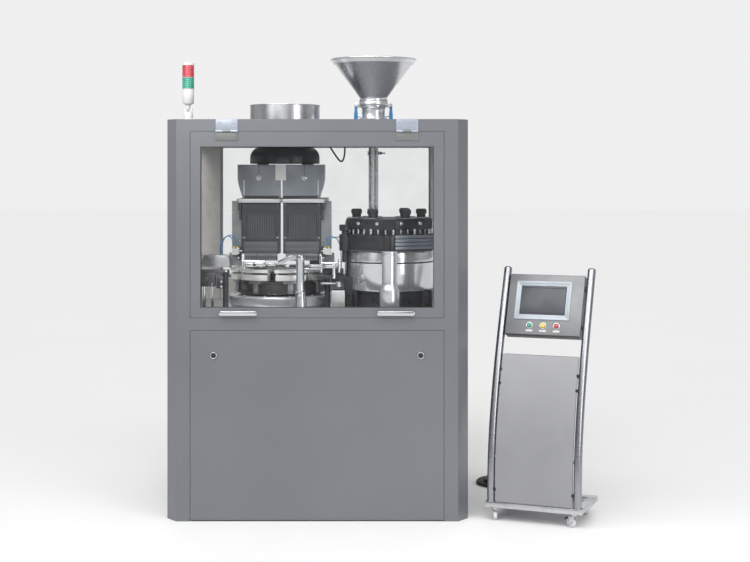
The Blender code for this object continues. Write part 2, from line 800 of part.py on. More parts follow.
def build_drive():
    motor = box(
        "gear_motor", (-0.160, 0.150, FLOOR_PLATE + GAP), (0.020, 0.350, 0.380), DARK_PAINT, bevel=0.008,
    )
    body = rod("motor_body", (-0.480, 0.250, 0.220), (-0.150, 0.250, 0.220), 0.090, steps=ROUND_STEPS)
    shaft = rod("motor_shaft", (-0.070, 0.250, 0.380), (-0.070, 0.250, 0.430), 0.018)
    join(motor, body, shaft)
    cams = turned(
        "cam_shaft",
        [
            (0.0, 0.620), (0.018, 0.620), (0.018, 0.602), (0.110, 0.602), (0.110, 0.584), (SHAFT_RADIUS, 0.584),
            (SHAFT_RADIUS, -0.560), (0.0, -0.560),
        ],
        (0.0, SHAFT_Y, SHAFT_Z), BRUSHED, SMALL_STEPS, axis="X",
    )
    for index, x in enumerate((-0.420, -0.250, -0.060, 0.160, 0.360)):
        angle = math.radians(72 * index)
        y, z = SHAFT_Y + 0.02 * math.cos(angle), SHAFT_Z + 0.02 * math.sin(angle)
        join(cams, rod(f"cam_{index}", (x - 0.012, y, z), (x + 0.012, y, z), 0.075, steps=28))


# ---------------------------------------------------------------- console

def lean(height):
    """How far the console's posts lean back at a height: upright below, then in one sweep."""
    t = max(0.0, (height - 0.16) / (1.18 - 0.16))
    return 0.285 * (t * t * (1.60 - 0.60 * t))


def console_origin():
    stand = bpy.data.objects.new("console_origin", None)
    stand.location = (CONSOLE_X, CONSOLE_Y, 0.0)
    stand.rotation_euler = (0.0, 0.0, math.radians(CONSOLE_TURN))
    PARTS.objects.link(stand)
    return stand


def build_console_frame(stand):
    frame = box(
        "console_frame", (-BASE_HALF, BASE_FRONT, RAIL_LOW), (BASE_HALF, BASE_BACK, RAIL_HIGH), BRUSHED,
        parent=stand,
    )
    inner = box(
        "cut_console_base", (-BASE_HALF + 0.04, BASE_FRONT + 0.04, 0.0),
        (BASE_HALF - 0.04, BASE_BACK - 0.04, 0.2), parent=stand,
    )
    cut(frame, inner)
    heights = [0.078, 0.16] + [0.16 + 0.068 * i for i in range(1, 16)]
    for side in (-1, 1):
        points = [(side * POST_SPACING / 2, lean(z), z) for z in heights]
        join(frame, tube(f"post_{side}", points, POST_RADIUS, None, stand, 3, True))
    for height in (0.30, 0.68):
        across, back = POST_SPACING / 2, lean(height)
        bar = rod(f"bar_{height}", (-across, back, height), (across, back, height), 0.008, None, stand)
        join(frame, bar)


def build_console_panel(stand):
    """The curved front sheet, hung between the posts."""
    half, low, high, steps = 0.1855, 0.094, 0.770, 16
    heights = [low + (high - low) * i / steps for i in range(steps + 1)]
    shape = bmesh.new()
    rows = []
    for z in heights:
        y = lean(z) - 0.013
        rows.append([shape.verts.new((side * half, y, z)) for side in (-1, 1)])
    for below, above in zip(rows, rows[1:]):
        shape.faces.new((below[0], below[1], above[1], above[0]))
    panel = finish_mesh("console_panel", shape, (0.0, 0.0, 0.0), BRUSHED, stand)
    shell = panel.modifiers.new("Sheet", "SOLIDIFY")
    shell.thickness = 0.002
    shell.offset = 0.0


def screen_frame(stand):
    """An empty on the leaning plane of the screen, at the middle of its height."""
    low, high = lean(SCREEN_LOW), lean(SCREEN_HIGH)
    plane = bpy.data.objects.new("screen_plane", None)
    plane.location = (0.0, (low + high) / 2, (SCREEN_LOW + SCREEN_HIGH) / 2)
    plane.rotation_euler = (-math.atan2(high - low, SCREEN_HIGH - SCREEN_LOW), 0.0, 0.0)
    plane.parent = stand
    PARTS.objects.link(plane)
    return plane, math.hypot(high - low, SCREEN_HIGH - SCREEN_LOW)


def build_screen(stand):
    plane, height = screen_frame(stand)
    housing = box(
        "screen_box", (-SCREEN_HALF, SCREEN_FRONT, -height / 2), (SCREEN_HALF, SCREEN_BACK, height / 2),
        BRUSHED, parent=plane,
    )
    box(
        "touch_screen", (-0.145, SCREEN_FRONT - 0.006, -0.075), (0.125, SCREEN_FRONT - GAP, 0.115), ALUMINIUM,
        bevel=0.002, parent=plane,
    )
    along = (BUTTON_HEIGHT - (SCREEN_LOW + SCREEN_HIGH) / 2) / (SCREEN_HIGH - SCREEN_LOW) * height
    names = (("button_green", GREEN), ("button_yellow", YELLOW), ("button_red", RED))
    for across, (name, material) in zip(BUTTON_ACROSS, names):
        cut(
            housing,
            rod(
                f"cut_{name}", (across, SCREEN_FRONT - 0.01, along), (across, SCREEN_FRONT + 0.012, along),
                BUTTON_RADIUS + 0.0015, None, plane,
            ),
        )
        rod(
            name, (across, SCREEN_FRONT - 0.010, along), (across, SCREEN_FRONT + 0.006, along), BUTTON_RADIUS,
            material, plane,
        )


def build_caster(stand, name, across, back, turn):
    """A swivel fork with its axle, and the wheel that turns on it."""
    swivel = bpy.data.objects.new(f"{name}_swivel", None)
    swivel.location = (across, back, 0.0)
    swivel.rotation_euler = (0.0, 0.0, math.radians(turn))
    swivel.parent = stand
    PARTS.objects.link(swivel)
    trail, axle = CASTER_TRAIL, WHEEL_RADIUS
    cheek = WHEEL_HALF + 0.0015
    fork = box(
        f"caster_{name}", (-cheek - 0.003, -0.014, 0.0500), (cheek + 0.003, trail + 0.012, RAIL_LOW - GAP),
        BRUSHED, pivot=(0.0, 0.0, 0.05), parent=swivel,
    )
    for side in (-1, 1):
        inner, outer = side * cheek, side * (cheek + 0.003)
        join(
            fork,
            box(
                f"cheek_{name}_{side}", (min(inner, outer), trail - 0.009, axle - 0.008),
                (max(inner, outer), trail + 0.012, 0.052), parent=swivel,
            ),
        )
    pin = rod(f"axle_{name}", (-cheek - 0.001, trail, axle), (cheek + 0.001, trail, axle), 0.004, None, swivel, 12)
    join(fork, pin)
    wheel = turned(
        f"wheel_{name}",
        [
            (WHEEL_RADIUS - 0.002, WHEEL_HALF), (WHEEL_RADIUS, WHEEL_HALF - 0.002),
            (WHEEL_RADIUS, -WHEEL_HALF + 0.002), (WHEEL_RADIUS - 0.002, -WHEEL_HALF),
            (0.0048, -WHEEL_HALF), (0.0048, WHEEL_HALF),
        ],
        (0.0, trail, axle), RUBBER, 28, ring=True, axis="X", parent=swivel,
    )
    return wheel


# ---------------------------------------------------------------- cable

def from_console(stand, across, back, height):
    return stand.matrix_world @ Vector((across, back, height))


def build_cable(stand):
    bpy.context.view_layer.update()
    start = from_console(stand, -0.050, BASE_BACK + GAP, 0.0775)
    away = from_console(stand, -0.050, BASE_BACK + 0.045, 0.0775)
    gland = turned(
        "cable_gland",
        [
            (0.0, 0.045), (0.011, 0.045), (0.014, 0.040), (0.014, 0.016), (0.0175, 0.014), (0.0175, 0.0),
            (0.0, 0.0),
        ],
        start, BLACK, SMALL_STEPS,
    )
    gland.rotation_euler = (away - start).to_track_quat("Z", "Y").to_euler()
    along = (away - start).normalized()
    outer = COIL_MIDDLE + COIL_HALF_BAND - CABLE_RADIUS
    route = [
        away + along * 2 * GAP,
        away + along * 0.022,
        away + along * 0.044,
        away + along * 0.085 + Vector((0.0, 0.0, -0.024)),
        away + along * 0.130 + Vector((0.0, 0.0, -0.052)),
        away + along * 0.180 + Vector((0.0, 0.0, CABLE_RADIUS + 0.0017 - 0.0775)),
        Vector((1.172, -0.060, CABLE_RADIUS + GAP)),
        Vector((1.158, 0.004, CABLE_RADIUS + GAP)),
        Vector((1.124, 0.058, CABLE_RADIUS + GAP)),
        Vector((COIL_X + outer + 0.006, COIL_Y - 0.116, CABLE_RADIUS + GAP)),
        Vector((COIL_X + outer, COIL_Y - 0.0745, CABLE_RADIUS + GAP)),
    ]
    tube("cable", smooth_route(route, 0.022), CABLE_RADIUS, RUBBER, None, 2)
    turned(
        "cable_coil",
        [
            (COIL_MIDDLE + COIL_HALF_BAND, COIL_HEIGHT), (COIL_MIDDLE + COIL_HALF_BAND, 0.0005),
            (COIL_MIDDLE - COIL_HALF_BAND, 0.0005), (COIL_MIDDLE - COIL_HALF_BAND, COIL_HEIGHT),
        ],
        (COIL_X, COIL_Y, 0.0), RUBBER, ring=True, steps=32,
    )
    x, sleeve_start = COIL_X + outer, COIL_Y + 0.0787
    hood = box(
        "cable_connector", (x - 0.018, sleeve_start + 0.026, 0.0005),
        (x + 0.018, sleeve_start + 0.098, 0.0445), BLACK, bevel=0.003,
    )
    height = 3 * CABLE_RADIUS + GAP
    join(hood, rod("sleeve", (x, sleeve_start, height), (x, sleeve_start + 0.040, height), 0.012))


def main():
    build_base_frame()
    build_table_plate()
    build_front_surround()
    build_rear_surround()
    build_roof()
    build_side_panels()
    build_side_windows()
    build_rear_window()
    build_front_window()
    build_lower_panel()
    build_signal_lamp()
    build_capsule_drum()
    build_powder_feed()
    build_funnels()
    build_feeder_column()
    build_magazines()
    build_turret()
    build_arm_post()
    build_discharge_chute()
    build_dosing_station()
    build_tamping_head()
    build_drive()
    stand = console_origin()
    build_console_frame(stand)
    build_console_panel(stand)
    build_screen(stand)
    build_caster(stand, "front_left", -CASTER_ACROSS, 0.0, 20)
    build_caster(stand, "front_right", CASTER_ACROSS, 0.0, 55)
    build_caster(stand, "rear_left", -CASTER_ACROSS, CASTER_BACK, -35)
    build_caster(stand, "rear_right", CASTER_ACROSS, CASTER_BACK, 40)
    build_cable(stand)


main()
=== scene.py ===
"""The finished looks of the capsule filler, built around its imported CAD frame.

Metres, in the frame's own axes: X along the front, -Y towards the operator, +Z up.
"""

import math

import bmesh
import bpy
from mathutils import Matrix, Vector


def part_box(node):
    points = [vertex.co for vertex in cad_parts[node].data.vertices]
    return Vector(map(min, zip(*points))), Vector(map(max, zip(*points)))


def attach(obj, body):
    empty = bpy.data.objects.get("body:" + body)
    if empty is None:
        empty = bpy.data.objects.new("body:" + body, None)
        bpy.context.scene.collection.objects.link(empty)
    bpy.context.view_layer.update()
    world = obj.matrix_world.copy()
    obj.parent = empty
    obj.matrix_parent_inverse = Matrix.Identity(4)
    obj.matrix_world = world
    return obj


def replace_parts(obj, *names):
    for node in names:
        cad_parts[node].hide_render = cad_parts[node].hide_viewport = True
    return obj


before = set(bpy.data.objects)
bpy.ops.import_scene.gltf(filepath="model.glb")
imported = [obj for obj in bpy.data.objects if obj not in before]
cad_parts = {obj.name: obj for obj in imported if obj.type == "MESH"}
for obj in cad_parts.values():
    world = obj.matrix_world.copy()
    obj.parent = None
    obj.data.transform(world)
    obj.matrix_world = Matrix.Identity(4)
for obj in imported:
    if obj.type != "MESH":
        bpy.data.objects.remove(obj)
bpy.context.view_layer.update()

# Places that the frame's own boxes give
FACE_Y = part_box("front_surround")[0][1]
ROOF_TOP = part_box("front_surround")[1][2]
TABLE_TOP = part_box("table_plate")[1][2]
DOOR_LOW, DOOR_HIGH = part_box("front_window_frame")
PANEL_LOW, PANEL_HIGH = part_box("lower_front_panel")
SIDE_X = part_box("side_panel_right")[1][0]


def middle_of(node):
    low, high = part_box(node)
    return (Vector(low) + Vector(high)) / 2


TURRET = middle_of("turret_base")
DOSE = middle_of("dosing_bowl")
POWDER = middle_of("powder_tube")
DRUM = middle_of("capsule_drum")
PILLAR = middle_of("front_pillar")
LAMP = middle_of("signal_post")
FEED_X = -0.187
ARM_X, ARM_Y = -0.085, -0.470

# The console stands turned towards the operator, on its own axes
CONSOLE_PLACE = Vector((1.009, -0.643, 0.0))
CONSOLE_TURN = math.radians(-22.0)
CONSOLE = Matrix.Translation(CONSOLE_PLACE) @ Matrix.Rotation(CONSOLE_TURN, 4, "Z")
SCREEN_LOW, SCREEN_HIGH = 0.854, 1.135


# ---------------------------------------------------------------- materials

def links_of(material):
    tree = material.node_tree
    return tree.nodes, tree.links


def noise(nodes, links, vector, scale, detail=3.0):
    node = nodes.new("ShaderNodeTexNoise")
    node.inputs["Scale"].default_value = scale
    node.inputs["Detail"].default_value = detail
    links.new(vector, node.inputs["Vector"])
    return node.outputs["Fac"]


def stretched(nodes, links, source, scale):
    node = nodes.new("ShaderNodeMapping")
    node.inputs["Scale"].default_value = scale
    links.new(source, node.inputs["Vector"])
    return node.outputs["Vector"]


def spread(nodes, links, value, low, high):
    """Turns a noise value, which stays near its middle, into a range of values."""
    node = nodes.new("ShaderNodeMapRange")
    node.inputs["From Min"].default_value = 0.3
    node.inputs["From Max"].default_value = 0.7
    node.inputs["To Min"].default_value = low
    node.inputs["To Max"].default_value = high
    links.new(value, node.inputs["Value"])
    return node.outputs["Result"]


def between(nodes, links, amount, first, second):
    """A colour between two colours."""
    node = nodes.new("ShaderNodeMix")
    node.data_type = "RGBA"
    node.inputs[6].default_value = (*first, 1.0)
    node.inputs[7].default_value = (*second, 1.0)
    links.new(amount, node.inputs["Factor"])
    return node.outputs[2]


def around_axis(nodes, links, source, x, y):
    """Coordinates that run with the radius and the height about an upright axis, for turned metal."""
    split = nodes.new("ShaderNodeSeparateXYZ")
    links.new(source, split.inputs["Vector"])
    flat = nodes.new("ShaderNodeCombineXYZ")
    links.new(split.outputs["X"], flat.inputs["X"])
    links.new(split.outputs["Y"], flat.inputs["Y"])
    away = nodes.new("ShaderNodeVectorMath")
    away.operation = "DISTANCE"
    away.inputs[1].default_value = (x, y, 0.0)
    links.new(flat.outputs["Vector"], away.inputs[0])
    rings = nodes.new("ShaderNodeCombineXYZ")
    links.new(away.outputs["Value"], rings.inputs["X"])
    links.new(split.outputs["Z"], rings.inputs["Z"])
    return rings.outputs["Vector"]


def finish(
    name, colour, rough, metal=0.0, shade=0.10, patch=5.0, grain=(600, 600, 600), dull=0.05, depth=0.00005,
    coat=0.0, alpha=1.0, aniso=0.0, axis=None, edge=0.0012, ior=1.5,
):
    """A finish with uneven colour, a grain in its roughness and height, and softened edges.

    grain is how many times a metre the grain varies along X, Y and Z.
    axis is the upright axis of turned work.
    """
    material = bpy.data.materials.new(name)
    material.use_nodes = True
    nodes, links = links_of(material)
    shader = nodes["Principled BSDF"]
    place = nodes.new("ShaderNodeTexCoord").outputs["Object"]
    broad = noise(nodes, links, place, patch, 4.0)
    dark = tuple(c * (1.0 - shade) for c in colour)
    light = tuple(min(1.0, c * (1.0 + shade)) for c in colour)
    tint = between(nodes, links, spread(nodes, links, broad, 0.0, 1.0), dark, light)
    links.new(tint, shader.inputs["Base Color"])
    lie = around_axis(nodes, links, place, *axis) if axis else place
    fine = noise(nodes, links, stretched(nodes, links, lie, grain), 1.0, 2.0)
    total = nodes.new("ShaderNodeMath")
    total.operation = "ADD"
    links.new(spread(nodes, links, fine, rough - dull, rough + dull), total.inputs[0])
    links.new(spread(nodes, links, noise(nodes, links, place, patch * 4.0), -dull, dull), total.inputs[1])
    links.new(total.outputs["Value"], shader.inputs["Roughness"])
    soft = nodes.new("ShaderNodeBevel")
    soft.samples = 3
    soft.inputs["Radius"].default_value = edge
    bump = nodes.new("ShaderNodeBump")
    bump.inputs["Distance"].default_value = depth
    bump.inputs["Strength"].default_value = 0.6
    links.new(fine, bump.inputs["Height"])
    links.new(soft.outputs["Normal"], bump.inputs["Normal"])
    links.new(bump.outputs["Normal"], shader.inputs["Normal"])
    shader.inputs["Metallic"].default_value = metal
    shader.inputs["Coat Weight"].default_value = coat
    shader.inputs["Coat Roughness"].default_value = 0.12
    shader.inputs["Alpha"].default_value = alpha
    shader.inputs["IOR"].default_value = ior
    if aniso:
        shader.inputs["Anisotropic"].default_value = aniso
        tangent = nodes.new("ShaderNodeTangent")
        tangent.direction_type = "RADIAL"
        tangent.axis = "Z"
        links.new(tangent.outputs["Tangent"], shader.inputs["Tangent"])
    return material


def glass_finish(name, tint, smudge=0.025):
    """Thin flat glass: clear, with faint smears and a weak reflection from its outer faces only."""
    material = bpy.data.materials.new(name)
    material.use_nodes = True
    nodes, links = links_of(material)
    nodes.remove(nodes["Principled BSDF"])
    place = nodes.new("ShaderNodeTexCoord").outputs["Object"]
    clear = nodes.new("ShaderNodeBsdfTransparent")
    smear = noise(nodes, links, place, 7.0, 5.0)
    dimmed = tuple(c * (1.0 - smudge) for c in tint)
    links.new(
        between(nodes, links, spread(nodes, links, smear, 0.0, 1.0), tint, dimmed), clear.inputs["Color"],
    )
    gloss = nodes.new("ShaderNodeBsdfGlossy")
    gloss.inputs["Color"].default_value = (0.9, 0.95, 1.0, 1.0)
    links.new(spread(nodes, links, smear, 0.01, 0.08), gloss.inputs["Roughness"])
    facing = nodes.new("ShaderNodeFresnel")
    facing.inputs["IOR"].default_value = 1.35
    outside = nodes.new("ShaderNodeMath")
    outside.operation = "SUBTRACT"
    outside.inputs[0].default_value = 1.0
    links.new(nodes.new("ShaderNodeNewGeometry").outputs["Backfacing"], outside.inputs[1])
    weight = nodes.new("ShaderNodeMath")
    weight.operation = "MULTIPLY"
    links.new(facing.outputs["Fac"], weight.inputs[0])
    links.new(outside.outputs["Value"], weight.inputs[1])
    mix = nodes.new("ShaderNodeMixShader")
    links.new(weight.outputs["Value"], mix.inputs["Fac"])
    links.new(clear.outputs["BSDF"], mix.inputs[1])
    links.new(gloss.outputs["BSDF"], mix.inputs[2])
    links.new(mix.outputs["Shader"], nodes["Material Output"].inputs["Surface"])
    return material


PAINT = finish(
    "grey_paint", (0.167, 0.174, 0.190), 0.34, metal=0.25, shade=0.05, patch=1.6,
    grain=(900, 900, 900), dull=0.03, depth=0.00004, coat=0.25, edge=0.0025,
)
DARK_PAINT = finish(
    "dark_paint", (0.075, 0.077, 0.082), 0.45, shade=0.15, grain=(700, 700, 700), depth=0.00006,
)
BRUSHED = finish(
    "brushed_steel", (0.58, 0.585, 0.60), 0.34, metal=1.0, shade=0.07,
    grain=(40, 40, 1800), dull=0.07, depth=0.00003,
)
POLISHED = finish(
    "polished_steel", (0.70, 0.71, 0.73), 0.16, metal=1.0, shade=0.03,
    grain=(350, 350, 350), dull=0.02, depth=0.000002, edge=0.0015,
)
DARK_STEEL = finish(
    "dark_steel", (0.085, 0.075, 0.078), 0.40, metal=0.85, shade=0.30, patch=14.0,
    grain=(60, 60, 900), dull=0.10, depth=0.00006,
)
ALUMINIUM = finish(
    "aluminium", (0.66, 0.655, 0.66), 0.38, metal=0.85, shade=0.08, patch=12.0,
    grain=(900, 900, 60), dull=0.06, depth=0.00003,
)
BLACK = finish(
    "black_plastic", (0.022, 0.021, 0.026), 0.38, shade=0.20, patch=10.0,
    grain=(900, 900, 900), dull=0.08, depth=0.00002,
)
CHARCOAL = finish(
    "charcoal_plastic", (0.040, 0.042, 0.050), 0.46, shade=0.14, patch=12.0,
    grain=(1100, 1100, 1100), dull=0.06, depth=0.00001,
)
SMOKED = finish(
    "smoked_plastic", (0.120, 0.135, 0.158), 0.20, shade=0.12, patch=9.0,
    grain=(500, 500, 500), dull=0.06, depth=0.00002, alpha=0.80, coat=0.4,
)
WHITE = finish("white_plastic", (0.60, 0.60, 0.59), 0.36, shade=0.04, patch=8.0, grain=(900, 900, 900))
BLUE = finish(
    "blue_plastic", (0.035, 0.200, 0.430), 0.30, shade=0.12, patch=9.0, grain=(900, 900, 900), coat=0.3,
)
HINGE_BLUE = finish(
    "hinge_plate", (0.36, 0.40, 0.46), 0.34, metal=0.35, shade=0.05, patch=14.0, grain=(60, 60, 900),
    depth=0.00001,
)
HINGE_GREY = finish(
    "hinge_leaf", (0.20, 0.205, 0.20), 0.42, metal=0.5, shade=0.06, patch=14.0, grain=(60, 60, 900),
    depth=0.00001,
)
RUBBER = finish(
    "black_rubber", (0.020, 0.020, 0.021), 0.58, shade=0.25, patch=30.0, grain=(1400, 1400, 1400),
    depth=0.0001,
)
GREEN_LENS = finish(
    "green_lens", (0.030, 0.270, 0.180), 0.22, shade=0.12, patch=25.0, grain=(300, 300, 900), coat=0.6,
)
RED_LENS = finish(
    "red_lens", (0.430, 0.035, 0.055), 0.22, shade=0.12, patch=25.0, grain=(300, 300, 900), coat=0.6,
)
YELLOW = finish(
    "yellow_plastic", (0.790, 0.560, 0.060), 0.30, shade=0.10, patch=20.0, grain=(900, 900, 900), coat=0.3,
)
# A paler, less metallic copy of the funnel's steel for the band under its rim: a painted highlight
RIM_HIGHLIGHT_STEEL = finish(
    "rim_highlight_steel", (0.86, 0.865, 0.87), 0.30, metal=0.45, shade=0.03, patch=8.0, grain=(350, 350, 350),
    dull=0.02, depth=0.000002,
)
SMOKED_DEEP = finish(
    "smoked_plastic_deep", (0.150, 0.165, 0.195), 0.24, shade=0.10, patch=9.0, grain=(500, 500, 500),
    depth=0.00002, coat=0.3,
)
HOPPER = finish(
    "hopper_plastic", (0.215, 0.230, 0.262), 0.22, shade=0.10, patch=7.0, grain=(500, 500, 500),
    depth=0.00002,
    alpha=0.94, coat=0.4,
)
PALE_PLASTIC = finish(
    "pale_plastic", (0.42, 0.43, 0.46), 0.35, shade=0.08, patch=12.0, grain=(700, 700, 700), depth=0.00003,
)
# Stainless given a pale warm colour and little metal: a painted reflection
STILE_PAINTED_REFLECTION = finish(
    "stile_painted_reflection", (0.62, 0.59, 0.565), 0.34, metal=0.15, shade=0.14, patch=3.0, grain=(600, 600, 30),
    dull=0.06,
    depth=0.00003,
)
CHARCOAL_LIGHT = finish(
    "charcoal_plastic_light", (0.100, 0.102, 0.110), 0.44, shade=0.12, patch=12.0, grain=(1100, 1100, 1100),
    depth=0.00001,
)
SLATE = finish(
    "slate_plastic", (0.150, 0.168, 0.205), 0.34, shade=0.10, patch=14.0, grain=(900, 60, 60),
    depth=0.00005, coat=0.3,
)
ALUMINIUM_DARK = finish(
    "aluminium_dark", (0.30, 0.305, 0.315), 0.42, metal=0.7, shade=0.14, patch=14.0, grain=(800, 800, 60),
    depth=0.00004,
)
DARK_ALLOY = finish(
    "dark_alloy", (0.150, 0.148, 0.158), 0.42, metal=0.7, shade=0.18, patch=14.0, grain=(700, 700, 80),
    depth=0.00005,
)
DIE_METAL = finish(
    "die_metal", (0.80, 0.79, 0.78), 0.36, metal=0.6, shade=0.05, patch=14.0, grain=(800, 800, 60),
    depth=0.00003,
)
BLACK_METAL = finish(
    "black_metal", (0.030, 0.029, 0.033), 0.34, metal=0.35, shade=0.20, patch=12.0, grain=(700, 700, 90),
    dull=0.08,
    depth=0.00004, edge=0.0015,
)
TUBE_STEEL = finish(
    "tube_steel", (0.34, 0.35, 0.37), 0.26, metal=1.0, shade=0.03, patch=9.0, grain=(600, 600, 40),
    dull=0.02, depth=0.000003,
)
SHEET = finish(
    "panel_sheet_steel", (0.330, 0.332, 0.345), 0.50, metal=0.55, shade=0.05, patch=4.0,
    grain=(60, 60, 900), dull=0.06,
    depth=0.00003,
)
BRUSHED_DARK = finish(
    "housing_steel", (0.250, 0.253, 0.261), 0.46, metal=0.6, shade=0.08, patch=9.0, grain=(60, 60, 800),
    dull=0.06,
    depth=0.00004,
)
BEZEL = finish(
    "bezel_silver", (0.40, 0.435, 0.475), 0.36, metal=0.3, shade=0.06, patch=16.0, grain=(900, 900, 900),
    depth=0.00003,
)
SCREEN = finish(
    "display_glass", (0.060, 0.067, 0.080), 0.40, shade=0.12, patch=5.0, grain=(240, 240, 240), dull=0.04,
    depth=0.00001, coat=0.2,
)
WHEEL_RUBBER = finish(
    "wheel_rubber", (0.60, 0.61, 0.63), 0.45, shade=0.16, patch=40.0, grain=(900, 900, 900), depth=0.00008,
)
GLASS = glass_finish("clear_glass", (0.985, 0.992, 0.990))


def spun(name, x, y, colour=(0.70, 0.71, 0.73), rough=0.18, dull=0.018, lines=900, metal=1.0):
    """Metal turned on a lathe about one upright axis, with its tool lines and its streaked reflections."""
    return finish(
        name, colour, rough, metal=metal, shade=0.03, grain=(lines, 1, lines), dull=dull, depth=0.000003,
        aniso=0.55, axis=(x, y),
    )


SPUN_DRUM = spun("spun_drum", DRUM.x, DRUM.y, rough=0.24)
SPUN_TURRET = spun("spun_turret", TURRET.x, TURRET.y, metal=0.6)
SPUN_DOSE = spun("spun_dosing", DOSE.x, DOSE.y, colour=(0.78, 0.785, 0.80), metal=0.75)
SPUN_POWDER = spun("spun_powder", POWDER.x, POWDER.y, rough=0.26)
SPUN_PILLAR = spun("spun_pillar", PILLAR.x, PILLAR.y, colour=(0.66, 0.67, 0.70), rough=0.22, metal=0.7)
SPUN_ARM = spun("spun_arm_post", ARM_X, ARM_Y, colour=(0.64, 0.65, 0.67), rough=0.20)


# ---------------------------------------------------------------- modelling

class Form:
    """Solids gathered into one mesh. Every point is in metres on the axes given by place."""

    def __init__(self, place=None):
        self.mesh = bmesh.new()
        self.place = place or Matrix.Identity(4)

    def put(self, verts, matrix):
        bmesh.ops.transform(self.mesh, matrix=self.place @ matrix, verts=verts)

    def block(self, low, high, round_by=0.001, turn=0.0, axis="Z", segments=2):
        """A block between two corners with rounded edges, turned about its own middle."""
        low, high = Vector(low), Vector(high)
        part = bmesh.new()
        bmesh.ops.create_cube(part, size=1.0)
        bmesh.ops.scale(part, vec=high - low, verts=part.verts)
        if round_by:
            bmesh.ops.bevel(
                part, geom=part.edges[:], offset=round_by, segments=segments, profile=0.5, affect="EDGES",
            )
        self.take(part, Matrix.Translation((low + high) / 2) @ Matrix.Rotation(turn, 4, axis))
        return self

    def take(self, part, matrix):
        """Adds a small mesh at a place, and frees it."""
        data = bpy.data.meshes.new("part")
        part.to_mesh(data)
        part.free()
        first = len(self.mesh.verts)
        self.mesh.from_mesh(data)
        bpy.data.meshes.remove(data)
        self.mesh.verts.ensure_lookup_table()
        self.put(self.mesh.verts[first:], matrix)

    def add(self, form):
        """Takes in another form, which is already in its place."""
        self.take(form.mesh, Matrix.Identity(4))

    def rod(self, start, end, radius, end_radius=None, round_by=0.0, steps=24):
        """A round or tapered bar between two points, with rounded rims."""
        start, end = Vector(start), Vector(end)
        along = end - start
        far = radius if end_radius is None else end_radius
        half = along.length / 2
        profile = [(0.0, -half), (radius - round_by, -half), (radius, -half + round_by)]
        profile += [(far, half - round_by), (far - round_by, half), (0.0, half)]
        turn = along.to_track_quat("Z", "Y").to_matrix().to_4x4()
        self.turn(profile, Matrix.Translation((start + end) / 2) @ turn, steps)
        return self

    def turn(self, profile, place, steps=64, closed=False):
        """A turned shape from (radius, height) points about the Z axis of place."""
        if not isinstance(place, Matrix):
            place = Matrix.Translation(place)
        part = bmesh.new()
        rings = []
        for radius, height in profile:
            if radius < 1e-6:
                rings.append([part.verts.new((0.0, 0.0, height))])
                continue
            rings.append([
                part.verts.new((
                    radius * math.cos(2 * math.pi * i / steps), radius * math.sin(2 * math.pi * i / steps),
                    height,
                ))
                for i in range(steps)
            ])
        pairs = list(zip(rings, rings[1:]))
        if closed:
            pairs.append((rings[-1], rings[0]))
        for lower, upper in pairs:
            for i in range(steps):
                j = (i + 1) % steps
                corners = [
                    lower[i % len(lower)], lower[j % len(lower)], upper[j % len(upper)],
                    upper[i % len(upper)],
                ]
                corners = list(dict.fromkeys(corners))
                if len(corners) > 2:
                    part.faces.new(corners)
        bmesh.ops.recalc_face_normals(part, faces=part.faces)
        self.take(part, place)
        return self

    def prism(self, points, low, high, plane="XY", round_by=0.0):
        """An outline given thickness: in plan, or seen from the front (XZ) or from the side (YZ)."""
        part = bmesh.new()
        face = part.faces.new([part.verts.new((x, y, low)) for x, y in points])
        made = bmesh.ops.extrude_face_region(part, geom=[face])
        top = [v for v in made["geom"] if isinstance(v, bmesh.types.BMVert)]
        bmesh.ops.translate(part, vec=(0.0, 0.0, high - low), verts=top)
        bmesh.ops.recalc_face_normals(part, faces=part.faces)
        if round_by:
            rims = [e for e in part.edges if abs(e.verts[0].co.z - e.verts[1].co.z) < 1e-6]
            bmesh.ops.bevel(part, geom=rims, offset=round_by, segments=2, profile=0.5, affect="EDGES")
        turns = {
            "XY": Matrix.Identity(4),
            "XZ": Matrix(((1, 0, 0, 0), (0, 0, 1, 0), (0, 1, 0, 0), (0, 0, 0, 1))),
            "YZ": Matrix(((0, 0, 1, 0), (1, 0, 0, 0), (0, 1, 0, 0), (0, 0, 0, 1))),
        }
        self.take(part, turns[plane])
        return self

    def tube(self, points, radius, sides=10, samples=6):
        """A round tube along a smooth curve through the points."""
        path = smooth(points, samples)
        part = bmesh.new()
        before = None
        side = (path[1] - path[0]).orthogonal().normalized()
        for index, point in enumerate(path):
            ahead = (path[min(index + 1, len(path) - 1)] - path[max(index - 1, 0)]).normalized()
            side = (side - ahead * side.dot(ahead)).normalized()
            other = ahead.cross(side)
            ring = [
                part.verts.new(point + radius * (
                    side * math.cos(2 * math.pi * i / sides) + other * math.sin(2 * math.pi * i / sides)
                ))
                for i in range(sides)
            ]
            if before:
                for i in range(sides):
                    j = (i + 1) % sides
                    part.faces.new((before[i], before[j], ring[j], ring[i]))
            else:
                part.faces.new(ring[::-1])
            before = ring
        part.faces.new(before)
        bmesh.ops.recalc_face_normals(part, faces=part.faces)
        self.take(part, Matrix.Identity(4))
        return self

    def piece(self, name, material, body, slot, sharp=35):
        """Ends the form as one piece, which rides on a body; its slot argument is not used."""
        bmesh.ops.recalc_face_normals(self.mesh, faces=self.mesh.faces)
        data = bpy.data.meshes.new(name)
        self.mesh.to_mesh(data)
        self.mesh.free()
        data.shade_smooth()
        data.set_sharp_from_angle(angle=math.radians(sharp))
        data.materials.append(material)
        obj = bpy.data.objects.new(name, data)
        bpy.context.scene.collection.objects.link(obj)
        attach(obj, body)
        return obj


